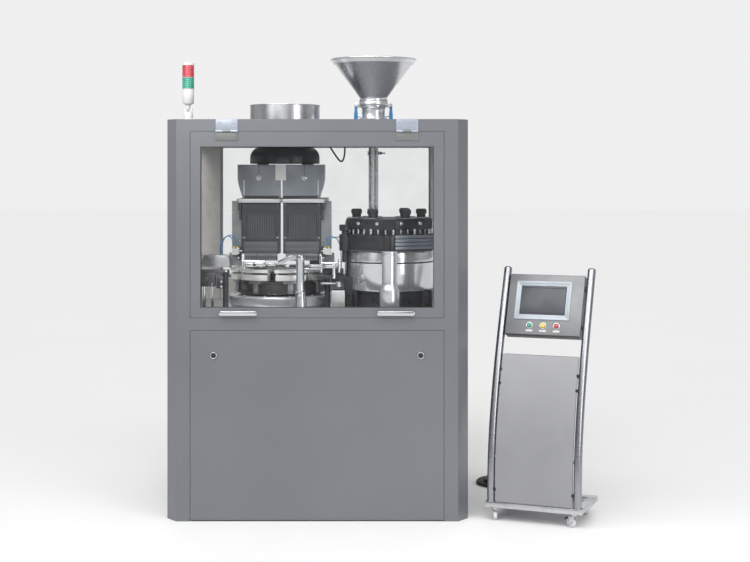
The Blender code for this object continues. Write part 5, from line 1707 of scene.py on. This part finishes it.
def make_dosing_bowl():
    low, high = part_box("dosing_bowl")
    place = upright(DOSE)
    radius = 0.220
    form = Form()
    form.turn(
        [(0.0, 1.120), (0.200, 1.120), (0.200, high[2]), (radius - 0.001, high[2]),
         (radius, high[2] - 0.0015),
         (radius, 1.2005), (radius - 0.0008, 1.1995), (radius - 0.0032, 1.1985), (radius - 0.0032, 1.1945),
         (radius - 0.0008, 1.1935), (radius, 1.1925), (radius, 1.0660), (radius - 0.0025, 1.0615),
         (radius - 0.006, low[2]),
         (0.0, low[2])],
        place, 128,
    )
    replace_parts(form.piece("dosing_bowl_shell", SPUN_DOSE, "cabinet", "polished_steel"), "dosing_bowl")
    seal = Form()
    seal.turn(
        [(radius - 0.0030, 1.1988), (radius - 0.0006, 1.1984), (radius - 0.0004, 1.1952),
         (radius - 0.0030, 1.1946)], place, 112,
        closed=True,
    )
    seal.piece("dosing_bowl_seal", RUBBER, "cabinet", "black_rubber")
    low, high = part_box("dosing_base")
    base = Form()
    base.turn(
        [(0.0, low[2]), (0.1990, low[2]), (0.2000, low[2] + 0.002), (0.2000, 0.990), (0.1975, 0.993),
         (0.1975, 1.046),
         (0.2000, 1.049), (0.2000, high[2] - 0.001), (0.1980, high[2]), (0.0, high[2])],
        place, 112,
    )
    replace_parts(base.piece("dosing_pedestal", BLACK_METAL, "cabinet", "black_plastic"), "dosing_base")
    side = Form()
    for angle in (-158, -140, -38, -18):
        a = math.radians(angle)
        x, y = about(DOSE, 0.212, a)
        side.rod((x, y, TABLE_TOP + 0.0005), (x, y, 1.056), 0.011, round_by=0.0015)
    side.block((0.118, -0.330, TABLE_TOP + 0.0005), (0.165, -0.270, 1.125), 0.005)
    side.rod((0.142, -0.300, 1.120), (0.142, -0.300, 1.260), 0.0110, round_by=0.002)
    side.piece("dosing_columns", BLACK_METAL, "cabinet", "black_plastic")


def make_front_pillar():
    low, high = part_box("front_pillar")
    x, y = PILLAR.x, PILLAR.y
    form = Form()
    neck = [(0.0365 + 0.0125 * ease(1 - i / 10), 1.062 + 0.050 * i / 10) for i in range(11)]
    form.turn(
        [(0.0, low[2]), (0.0485, low[2]), (0.0490, low[2] + 0.001), *neck, (0.0365, 1.190), (0.0385, 1.2040),
         (0.0385, high[2] - 0.020), (0.0350, high[2] - 0.018), (0.0350, high[2] - 0.012),
         (0.0385, high[2] - 0.010),
         (0.0385, high[2] - 0.001), (0.0370, high[2]), (0.0, high[2])],
        (x, y, 0.0), 72,
    )
    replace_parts(form.piece("dosing_front_pillar", SPUN_PILLAR, "cabinet", "polished_steel"), "front_pillar")


def make_dosing_ring():
    """On the black ring plate: a block in front, a grooved right face and a post at the left corner."""
    low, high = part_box("dosing_cover_plate")
    plate, face, trim, pot = Form(), Form(), Form(), Form()
    z0, z1 = low[2], high[2]
    flat = 0.2325
    corner = flat / math.cos(math.radians(30))
    tip_y = DOSE.y - corner
    block = arc(DOSE.x, tip_y + 0.050, 0.046, 200, 340, 14)
    plate.prism(
        [*block, (DOSE.x + 0.038, tip_y + 0.075), (DOSE.x - 0.038, tip_y + 0.075)], z0 + 0.002, z1 - 0.003,
        round_by=0.0025,
    )
    plate.prism(
        [*arc(DOSE.x, tip_y + 0.050, 0.040, 190, 350, 14), (DOSE.x, tip_y + 0.080)], z0 - 0.006, z0 + 0.003,
        round_by=0.001,
    )
    for side in (-1, 1):
        a = math.radians(-90 + side * 30)
        turn = Matrix.Translation(upright(DOSE)) @ Matrix.Rotation(a, 4, "Z")
        local = Form(turn)
        if side > 0:
            for i in range(4):
                z = z0 + 0.0040 + i * 0.0178
                local.block((flat - 0.004, -0.104, z), (flat + 0.0022, 0.112, z + 0.0150), 0.0018)
            face.add(local)
        else:
            local.block((flat - 0.004, -0.112, z0 + 0.003), (flat + 0.0012, 0.104, z1 - 0.003), 0.0014)
            plate.add(local)
        rail = Form(turn)
        rail.block((flat - 0.012, -0.108, z0 - 0.0065), (flat - 0.002, 0.108, z0 - 0.0005), 0.0015)
        trim.add(rail)
    left_corner = (DOSE.x - flat - 0.002, DOSE.y - flat * math.tan(math.radians(30)))
    x, y = left_corner[0] + 0.018, left_corner[1] - 0.012
    pot.rod((x, y, z0 - 0.004), (x, y, z1 + 0.001), 0.026, round_by=0.002, steps=40)
    pot.rod((x, y, z1), (x, y, z1 + 0.018), 0.015, steps=28)
    pot.rod((x, y, z1 + 0.018), (x, y, z1 + 0.048), 0.026, round_by=0.003, steps=40)
    pot.rod((x, y, z0 - 0.060), (x, y, z0 - 0.003), 0.0125, round_by=0.001, steps=28)
    plate.piece("dosing_ring_trim", BLACK_METAL, "cabinet", "black_plastic")
    face.piece("dosing_ring_grooved_face", SLATE, "cabinet", "charcoal_plastic")
    trim.piece("dosing_ring_rails", CHARCOAL_LIGHT, "cabinet", "charcoal_plastic")
    pot.piece("dosing_corner_post", BLACK_METAL, "cabinet", "black_plastic")


def spring(form, x, y, low, high, radius, turns):
    points = [
        (x + radius * math.cos(2 * math.pi * turns * t), y + radius * math.sin(2 * math.pi * turns * t),
         low + (high - low) * t)
        for t in (i / (turns * 8) for i in range(turns * 8 + 1))
    ]
    form.tube(points, 0.0011, 5, 1)


def make_tamping_details():
    """Round the rising head: punch holders with springs and pins, blocks, chrome screws and star knobs."""
    low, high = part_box("tamping_head")
    rest = low[2]
    head_low, head_high = 1.358, 1.408
    springs, pins, blocks, chrome, knobs, light = (Form() for _ in range(6))
    for i in range(36):
        a = math.radians(10 * i + 5)
        radius = 0.2120
        x, y = about(DOSE, radius, a)
        if i % 3 == 0:
            pins.rod((x, y, rest + 0.0005), (x, y, head_low + 0.003), 0.0062, round_by=0.001, steps=16)
            pins.rod((x, y, rest + 0.0105), (x, y, rest + 0.0155), 0.0082, round_by=0.001, steps=16)
        else:
            pins.rod((x, y, rest + 0.0005), (x, y, head_low + 0.002), 0.0022, steps=10)
            spring(springs, x, y, rest + 0.001, head_low + 0.001, 0.0048, 5)
    for i in range(6):
        a = math.radians(60 * i)
        turn = Matrix.Translation(upright(DOSE)) @ Matrix.Rotation(a, 4, "Z")
        part = Form(turn)
        part.block((0.128, -0.086, head_low - 0.001), (0.2100, 0.086, head_high + 0.0005), 0.0035, segments=3)
        blocks.add(part)
        part = Form(turn)
        part.block((0.132, -0.040, head_high), (0.2040, 0.040, head_high + 0.0055), 0.0020)
        part.block((0.100, -0.070, head_high - 0.002), (0.1300, 0.070, head_high + 0.0025), 0.0015)
        light.add(part)
        part = Form(turn)
        part.rod((0.2085, -0.052, 1.3860), (0.2150, -0.052, 1.3860), 0.0098, round_by=0.0022, steps=30)
        part.rod((0.2085, 0.052, 1.3860), (0.2150, 0.052, 1.3860), 0.0098, round_by=0.0022, steps=30)
        part.block((0.2145, -0.0600, 1.3852), (0.2156, -0.0440, 1.3868), 0.0002, turn=0.7, axis="X")
        part.block((0.2145, 0.0440, 1.3852), (0.2156, 0.0600, 1.3868), 0.0002, turn=-0.5, axis="X")
        chrome.add(part)
        knob = Form(turn)
        knob.rod((0.160, 0.0, head_high + 0.004), (0.160, 0.0, head_high + 0.026), 0.0085, round_by=0.001)
        star = []
        for step in range(60):
            t = 2 * math.pi * step / 60
            reach = 0.0225 + 0.0042 * math.cos(6 * t)
            star.append((0.160 + reach * math.cos(t), reach * math.sin(t)))
        knob.prism(star, head_high + 0.0225, high[2] - 0.0035, round_by=0.0030)
        knob.rod((0.160, 0.0, high[2] - 0.008), (0.160, 0.0, high[2]), 0.012, round_by=0.002)
        knobs.add(knob)
    for angle in (-60, 60, 180):
        a = math.radians(angle + 30)
        x, y = about(DOSE, 0.205, a)
        chrome.rod((x, y, head_low + 0.004), (x, y, head_low + 0.034), 0.0070, round_by=0.0015)
    pins.piece("punch_pins", POLISHED, "tamping_head", "polished_steel")
    springs.piece("punch_springs", POLISHED, "tamping_head", "polished_steel")
    blocks.piece("punch_holder_blocks", BLACK_METAL, "tamping_head", "black_plastic")
    light.piece("punch_holder_caps", ALUMINIUM_DARK, "tamping_head", "aluminium")
    chrome.piece("punch_holder_screws", POLISHED, "tamping_head", "polished_steel")
    knobs.piece("punch_holder_star_knobs", BLACK, "tamping_head", "black_plastic")


def make_inner_frame():
    """Stainless stiles and sills behind the windows, as seen through the glass, and the table's trim. The
    stiles' pale warm colour with little metal paints the stainless's warm reflection.
    """
    form = Form()
    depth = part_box("table_plate")[1][1]
    for side in (-1, 1):
        x0, x1 = sorted((side * 0.684, side * 0.574))
        form.block((x0, depth - 0.030, TABLE_TOP + 0.0005), (x1, depth - 0.003, 1.8255), 0.002)
        x0, x1 = sorted((side * 0.684, side * 0.640))
        form.block((x0, -depth + 0.003, TABLE_TOP + 0.0005), (x1, -depth + 0.020, 1.8255), 0.002)
    form.block((-0.574, depth - 0.022, TABLE_TOP + 0.0005), (0.574, depth - 0.003, 1.064), 0.002)
    form.piece("inner_stiles", STILE_PAINTED_REFLECTION, "cabinet", "brushed_steel")
    tray = Form()
    tray.turn(
        [(0.262, TABLE_TOP + 0.0004), (0.268, TABLE_TOP + 0.0004), (0.268, TABLE_TOP + 0.006),
         (0.262, TABLE_TOP + 0.006)],
        upright(TURRET), 96, closed=True,
    )
    tray.piece("table_seal_ring", RUBBER, "cabinet", "black_rubber")


# ---------------------------------------------------------------- console

POST_X = 0.207
POST_RADIUS = 0.019
RAIL_LOW = 0.065
RAIL_HIGH = 0.090
BASE_HALF = 0.232
BASE_FRONT = -0.020
BASE_BACK = 0.300


def lean(height):
    """How far the console's posts lean back at a height: upright below, then in one sweep."""
    t = max(0.0, (height - 0.16) / 1.02)
    return 0.285 * (t * t * (1.60 - 0.60 * t))


def make_console_posts():
    """Two bent tubes with domed tops, their sockets, and the bars between them."""
    form = Form(CONSOLE)
    top = 1.166
    heights = [0.078 + (top - 0.078) * i / 34 for i in range(35)]
    slope = (lean(top) - lean(top - 0.01)) / 0.01
    tilt = Matrix.Rotation(-math.atan(slope), 4, "X")
    for side in (-1, 1):
        form.tube([(side * POST_X, lean(z), z) for z in heights], POST_RADIUS, sides=28, samples=1)
        place = Matrix.Translation((side * POST_X, lean(top), top)) @ tilt
        dome = [
            (POST_RADIUS * math.cos(a), -0.001 + 0.012 * math.sin(a))
            for a in (math.pi / 2 * i / 8 for i in range(9))
        ]
        form.turn([(0.0, -0.004), (POST_RADIUS, -0.004), *dome], place, 36)
        form.rod(
            (side * POST_X, 0.0, RAIL_HIGH - 0.001), (side * POST_X, 0.0, RAIL_HIGH + 0.005), 0.0235,
            round_by=0.0015, steps=32,
        )
    for height in (0.30, 0.68):
        form.rod((-POST_X, lean(height), height), (POST_X, lean(height), height), 0.008, steps=20)
    posts = form.piece("console_posts", TUBE_STEEL, "console", "polished_steel", sharp=40)
    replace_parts(posts, "console_frame")
    base = Form(CONSOLE)
    for x0, x1, y0, y1 in (
        (-BASE_HALF, BASE_HALF, BASE_FRONT, BASE_FRONT + 0.040),
        (-BASE_HALF, BASE_HALF, BASE_BACK - 0.040, BASE_BACK),
        (-BASE_HALF, -BASE_HALF + 0.040, BASE_FRONT + 0.0385, BASE_BACK - 0.0385),
        (BASE_HALF - 0.040, BASE_HALF, BASE_FRONT + 0.0385, BASE_BACK - 0.0385),
    ):
        base.block((x0, y0, RAIL_LOW), (x1, y1, RAIL_HIGH), 0.0025)
    base.block(
        (-0.194, BASE_FRONT + 0.038, RAIL_LOW + 0.004), (0.194, BASE_BACK - 0.038, RAIL_LOW + 0.007),
        0.0010,
    )
    base.piece("console_base_rails", BRUSHED, "console", "brushed_steel")
    dark = Form(CONSOLE)
    for x in (-BASE_HALF + 0.001, BASE_HALF - 0.001):
        for y in (BASE_FRONT + 0.020, BASE_BACK - 0.020):
            step = 0.0008 if x > 0 else -0.0008
            a, b = sorted((x, x + step))
            dark.block((a, y - 0.016, RAIL_LOW + 0.003), (b, y + 0.016, RAIL_HIGH - 0.003), 0.0002)
    for side, heights in ((-1, (0.700, 0.636, 0.150)), (1, (0.686, 0.620, 0.150))):
        for z in heights:
            a, b = sorted((side * 0.1800, side * 0.1925))
            dark.block((a, lean(z) - 0.0160, z - 0.007), (b, lean(z) - 0.004, z + 0.007), 0.002)
    dark.piece("console_clips", BLACK, "console", "black_plastic")


def make_console_panel():
    """The swept front sheet with folded edges."""
    half, low, high, steps = 0.1850, 0.094, 0.769, 48
    heights = [low + (high - low) * i / steps for i in range(steps + 1)]
    form = Form(CONSOLE)
    front = [(lean(z) - 0.0138, z) for z in heights]
    back = [(lean(z) - 0.0120, z) for z in reversed(heights)]
    form.prism(front + back, -half + 0.0008, half - 0.0008, plane="YZ")
    for side in (-1, 1):
        a, b = sorted((side * half, side * (half - 0.0016)))
        fold = [(lean(z) - 0.0132, z) for z in heights] + [(lean(z) - 0.0010, z) for z in reversed(heights)]
        form.prism(fold, a, b, plane="YZ")
    for z in (low, high):
        form.block(
            (-half + 0.006, lean(z) - 0.0130, z - 0.0009), (half - 0.006, lean(z) + 0.004, z + 0.0007),
            0.0006,
        )
    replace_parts(form.piece("console_front_sheet", SHEET, "console", "brushed_steel"), "console_panel")


SCREEN_RISE = lean(SCREEN_HIGH) - lean(SCREEN_LOW)
SCREEN_SPAN = math.hypot(SCREEN_RISE, SCREEN_HIGH - SCREEN_LOW)
SCREEN_PLANE = (
    CONSOLE
    @ Matrix.Translation((0.0, (lean(SCREEN_HIGH) + lean(SCREEN_LOW)) / 2, (SCREEN_LOW + SCREEN_HIGH) / 2))
    @ Matrix.Rotation(-math.atan2(SCREEN_RISE, SCREEN_HIGH - SCREEN_LOW), 4, "X")
)
BUTTONS = ((-0.065, "green"), (0.001, "yellow"), (0.067, "red"))
BUTTON_Z = (0.898 - (SCREEN_LOW + SCREEN_HIGH) / 2) / (SCREEN_HIGH - SCREEN_LOW) * SCREEN_SPAN


def make_console_screen():
    """Brushed housing, stepped bezel, dark glass, and the seats and name plates of the buttons."""
    half, top = 0.1835, SCREEN_SPAN / 2
    box_form = Form(SCREEN_PLANE)
    box_form.block((-half, -0.0215, -top), (half, 0.036, top), 0.003, segments=3)
    box_form.block((-half + 0.001, -0.0222, -top + 0.001), (half - 0.001, -0.0200, top - 0.001), 0.0008)
    for x in (-half + 0.012, half - 0.012):
        for z in (-top + 0.012, top - 0.012):
            box_form.rod((x, 0.0350, z), (x, 0.0362, z), 0.004, round_by=0.0003, steps=16)
    housing = box_form.piece("console_screen_housing", BRUSHED_DARK, "console", "brushed_steel")
    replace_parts(housing, "screen_box")
    lip = Form(SCREEN_PLANE)
    lip.block((-half + 0.002, -0.0222, -top - 0.0002), (half - 0.002, 0.030, -top + 0.006), 0.0015)
    lip.piece("console_screen_underside", BLACK, "console", "black_plastic")
    bezel = Form(SCREEN_PLANE)
    outer = (-0.145, -0.075, 0.125, 0.115)
    inner = (-0.122, -0.042, 0.100, 0.083)
    ring_strip_on(bezel, outer, 0.013, -0.0275, -0.0220)
    ring_strip_on(
        bezel, (outer[0] + 0.0115, outer[1] + 0.0115, outer[2] - 0.0115, outer[3] - 0.0115), 0.0125,
        -0.0262, -0.0215,
    )
    bezel.piece("console_bezel", BEZEL, "console", "aluminium")
    glass = Form(SCREEN_PLANE)
    glass.block(
        (outer[0] + 0.012, -0.0245, outer[1] + 0.012), (outer[2] - 0.012, -0.0216, outer[3] - 0.012),
        0.0004,
    )
    display = glass.piece("console_display", SCREEN, "console", "smoked_plastic")
    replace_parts(display, "touch_screen")
    light = Form(SCREEN_PLANE)
    ring_strip_on(light, inner, 0.0022, -0.0252, -0.0240)
    light.piece("console_display_edge", BLACK, "console", "black_plastic")
    seats, plates = Form(), Form(SCREEN_PLANE)
    for x, name in BUTTONS:
        turn = Matrix.Translation((x, -0.0218, BUTTON_Z)) @ Matrix.Rotation(math.pi / 2, 4, "X")
        ring = Form(SCREEN_PLANE @ turn)
        ring.turn(
            [(0.0126, -0.001), (0.0126, 0.0040), (0.0132, 0.0048), (0.0150, 0.0046), (0.0165, 0.0030),
             (0.0168, -0.001)],
            Vector((0.0, 0.0, 0.0)), 48, closed=True,
        )
        seats.add(ring)
        cap = Form(SCREEN_PLANE @ turn)
        cap.turn(
            [(0.0, -0.0050), (0.0106, -0.0050), (0.0108, 0.0060), (0.0100, 0.0085), (0.0078, 0.0096),
             (0.0040, 0.0100), (0.0, 0.0101)],
            Vector((0.0, 0.0, 0.0)), 40,
        )
        lens = {"green": GREEN_LENS, "yellow": YELLOW, "red": RED_LENS}[name]
        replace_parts(cap.piece(f"button_cap_{name}", lens, f"button_{name}", f"{name}_lens"), f"button_{name}")
        plates.block(
            (x - 0.0165, -0.0232, BUTTON_Z - 0.0305), (x + 0.0165, -0.0218, BUTTON_Z - 0.0205), 0.0006,
        )
    seats.piece("console_button_seats", POLISHED, "console", "polished_steel")
    plates.piece("console_blank_plates", WHITE, "console", "white_plastic")
    clips = Form(SCREEN_PLANE)
    for x0, x1, z in (
        (-0.1900, -0.1832, 0.075), (-0.1900, -0.1832, -0.105), (0.1832, 0.1900, 0.090),
        (0.1832, 0.1900, -0.100),
    ):
        clips.block((x0, -0.008, z - 0.011), (x1, 0.012, z + 0.011), 0.0020)
    clips.piece("console_screen_clips", BLACK, "console", "black_plastic")
    rear = Form(SCREEN_PLANE)
    rear.block((-0.150, 0.0352, -0.115), (0.150, 0.0372, 0.115), 0.0008)
    for i in range(9):
        z = -0.060 + i * 0.015
        rear.block((-0.085, 0.0366, z - 0.0022), (0.085, 0.0380, z + 0.0022), 0.0006)
    rear.piece("console_screen_rear_cover", BRUSHED, "console", "brushed_steel")


def ring_strip_on(form, edges, width, front, back):
    """A rectangular ring of four mitred bars in the XZ plane, inside the given edges."""
    x0, z0, x1, z1 = edges
    form.prism(
        [(x0, z0), (x1, z0), (x1 - width, z0 + width), (x0 + width, z0 + width)], front, back, plane="XZ",
        round_by=0.0006,
    )
    form.prism(
        [(x0, z1), (x0 + width, z1 - width), (x1 - width, z1 - width), (x1, z1)], front, back, plane="XZ",
        round_by=0.0006,
    )
    form.prism(
        [(x0, z0), (x0 + width, z0 + width), (x0 + width, z1 - width), (x0, z1)], front, back, plane="XZ",
        round_by=0.0006,
    )
    form.prism(
        [(x1, z0), (x1, z1), (x1 - width, z1 - width), (x1 - width, z0 + width)], front, back, plane="XZ",
        round_by=0.0006,
    )


WHEEL_RADIUS = 0.024
TRAIL = 0.016
CASTERS = (
    ("front_left", -0.188, 0.0, 20), ("front_right", 0.188, 0.0, 55), ("rear_left", -0.188, 0.27, -35),
    ("rear_right", 0.188, 0.27, 40),
)


def make_casters():
    """Swivel casters: a raceway, a pressed fork with its axle, a brake pedal and a stepped wheel."""
    for name, across, back, turn in CASTERS:
        place = CONSOLE @ Matrix.Translation((across, back, 0.0))
        place = place @ Matrix.Rotation(math.radians(turn), 4, "Z")
        fork = Form(place)
        fork.rod((0.0, 0.0, 0.0555), (0.0, 0.0, 0.0643), 0.0132, round_by=0.0015, steps=32)
        fork.block((-0.0135, -0.0135, 0.0515), (0.0135, TRAIL + 0.008, 0.0548), 0.0012)
        for side in (-1, 1):
            a, b = sorted((side * 0.0107, side * 0.0135))
            fork.prism(
                [(-0.0125, 0.0540), (-0.0090, 0.0380), (TRAIL - 0.0085, 0.0200), (TRAIL - 0.0050, 0.0165),
                 (TRAIL + 0.0050, 0.0165),
                 (TRAIL + 0.0090, 0.0210), (TRAIL + 0.0105, 0.0400), (TRAIL + 0.0085, 0.0540)],
                a, b, plane="YZ", round_by=0.0007,
            )
        fork.rod((-0.0141, TRAIL, WHEEL_RADIUS), (0.0141, TRAIL, WHEEL_RADIUS), 0.0042, steps=20)
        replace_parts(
            fork.piece(f"caster_fork_{name}", ALUMINIUM, f"caster_{name}", "aluminium"), f"caster_{name}",
        )
        pedal = Form(place)
        pedal.block((-0.0100, TRAIL + 0.0105, 0.0420), (0.0100, TRAIL + 0.0240, 0.0475), 0.0015)
        pedal.prism(
            [(TRAIL + 0.0225, 0.0440), (TRAIL + 0.0240, 0.0475), (TRAIL + 0.0380, 0.0330),
             (TRAIL + 0.0360, 0.0300)],
            -0.0110, 0.0110, plane="YZ", round_by=0.0010,
        )
        pedal.piece(f"caster_brake_{name}", BLACK, f"caster_{name}", "black_plastic")
        axis = place @ Matrix.Translation((0.0, TRAIL, WHEEL_RADIUS)) @ Matrix.Rotation(math.pi / 2, 4, "Y")
        wheel = Form(axis)
        wheel.turn(
            [(0.0048, -0.0086), (0.0080, -0.0088), (0.0090, -0.0070), (0.0150, -0.0070), (0.0162, -0.0086),
             (0.0215, -0.0088),
             (0.0236, -0.0072), (0.0240, -0.0045), (0.0240, 0.0045), (0.0236, 0.0072), (0.0215, 0.0088),
             (0.0162, 0.0086),
             (0.0150, 0.0070), (0.0090, 0.0070), (0.0080, 0.0088), (0.0048, 0.0086)],
            Vector((0.0, 0.0, 0.0)), 48, closed=True,
        )
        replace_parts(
            wheel.piece(f"wheel_tread_{name}", WHEEL_RUBBER, f"wheel_{name}", "black_rubber"),
            f"wheel_{name}",
        )


# ---------------------------------------------------------------- rear and sides

PROUD = 0.00005


def flush_bars(form, low, high, width, skin, outward, across):
    """The thin gaps round a door that lies flush in a wall, from one corner to the opposite one, as four flat
    bars; in black they are painted shade of the gaps.
    """
    (a0, z0), (a1, z1) = low, high
    for p, q in (
        ((a0, z0), (a1, z0 + width)), ((a0, z1 - width), (a1, z1)), ((a0, z0), (a0 + width, z1)),
        ((a1 - width, z0), (a1, z1)),
    ):
        flush_plate(form, p, q, skin, outward, across)


def flush_plate(form, low, high, skin, outward, across):
    """A plate let into a wall that faces along Y (across X) or along X (across Y)."""
    inner, outer = sorted((skin - outward * 0.001, skin + outward * PROUD))
    if across == "X":
        form.block((low[0], inner, low[1]), (high[0], outer, high[1]), 0.0)
    else:
        form.block((inner, low[0], low[1]), (outer, high[0], high[1]), 0.0)


def louvres(form, start, end, z0, count, pitch, skin, outward, across):
    """Rows of pressed air slot openings, as flat plates let into the wall; their black is painted shade of the
    openings.
    """
    for i in range(count):
        z = z0 + i * pitch
        flush_plate(form, (start, z), (end, z + 0.0045), skin, outward, across)
        flush_plate(form, (start + 0.004, z + 0.0045), (end - 0.004, z + 0.0060), skin, outward, across)


def make_rear_doors():
    """Two service doors below the rear window: their gaps, air slot openings, hinges and quarter-turn locks.
    The gaps, the openings and the locks' key slot lines are flush black plates: painted shade.
    """
    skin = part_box("rear_surround")[1][1]
    gap_shade, slot_shade, steel = Form(), Form(), Form()
    for low, high in (((-0.560, 0.100), (-0.001, 0.860)), ((0.001, 0.100), (0.560, 0.860))):
        flush_bars(gap_shade, low, high, 0.003, skin, 1, "X")
    for x in (-0.430, 0.150):
        louvres(slot_shade, x, x + 0.280, 0.200, 12, 0.018, skin, 1, "X")
        louvres(slot_shade, x, x + 0.280, 0.600, 8, 0.018, skin, 1, "X")
    for x in (-0.560, 0.560):
        for z in (0.220, 0.480, 0.740):
            flush_plate(steel, (x - 0.016, z - 0.030), (x + 0.016, z + 0.030), skin, 1, "X")
    for x in (-0.038, 0.038):
        for z in (0.300, 0.660):
            steel.rod((x, skin - 0.002, z), (x, skin + PROUD, z), 0.0135, steps=32)
            flush_plate(gap_shade, (x - 0.0012, z - 0.008), (x + 0.0012, z + 0.008), skin + PROUD, 1, "X")
    # Flush black plates: painted shade of the door gaps, the air slot openings and the key slot lines
    gap_shade.piece("rear_door_gap_shade", BLACK, "cabinet", "black_plastic")
    slot_shade.piece("rear_door_louvre_shade", BLACK_METAL, "cabinet", "black_plastic")
    steel.piece("rear_door_fittings", BRUSHED, "cabinet", "brushed_steel")


def make_side_panels():
    """Below each side window: the gaps round a removable panel, its screws and a group of air slot openings.
    The gaps, the screws' slot lines and the openings are flush black plates: painted shade.
    """
    gap_shade, slot_shade, steel = Form(), Form(), Form()
    for side, name in ((-1, "side_panel_left"), (1, "side_panel_right")):
        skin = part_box(name)[0 if side < 0 else 1][0]
        flush_bars(gap_shade, (-0.440, 0.080), (0.440, 0.840), 0.003, skin, side, "Y")
        louvres(slot_shade, -0.300, 0.020, 0.180, 10, 0.018, skin, side, "Y")
        for y in (-0.412, 0.412):
            for z in (0.110, 0.810):
                steel.rod((skin - side * 0.002, y, z), (skin + side * PROUD, y, z), 0.0110, steps=32)
                flush_plate(
                    gap_shade, (y - 0.006, z - 0.001), (y + 0.006, z + 0.001), skin + side * PROUD, side, "Y",
                )
    # Flush black plates: painted shade of the panel gaps, screw slot lines and air slot openings
    gap_shade.piece("side_panel_gap_shade", BLACK, "cabinet", "black_plastic")
    slot_shade.piece("side_panel_louvre_shade", BLACK_METAL, "cabinet", "black_plastic")
    steel.piece("side_panel_screws", BRUSHED, "cabinet", "brushed_steel")


# ---------------------------------------------------------------- build


make_studio()
make_cable()
dress_frame()
make_gaskets_and_seam_shade()
make_window_hinges()
make_window_handles()
make_locks()
make_side_frames()
make_rear_fittings()
make_signal_lamp()
make_drum()
make_powder_feed()
make_roof_lead()
make_hoppers()
make_flanges()
make_magazine_fronts()
make_air_fittings()
make_side_plate_details()
make_turret_ring()
make_turret()
make_arm_post()
make_turret_surroundings()
make_discharge()
make_dosing_bowl()
make_front_pillar()
make_dosing_ring()
make_tamping_details()
make_inner_frame()
make_console_posts()
make_console_panel()
make_console_screen()
make_casters()
make_rear_doors()
make_side_panels()
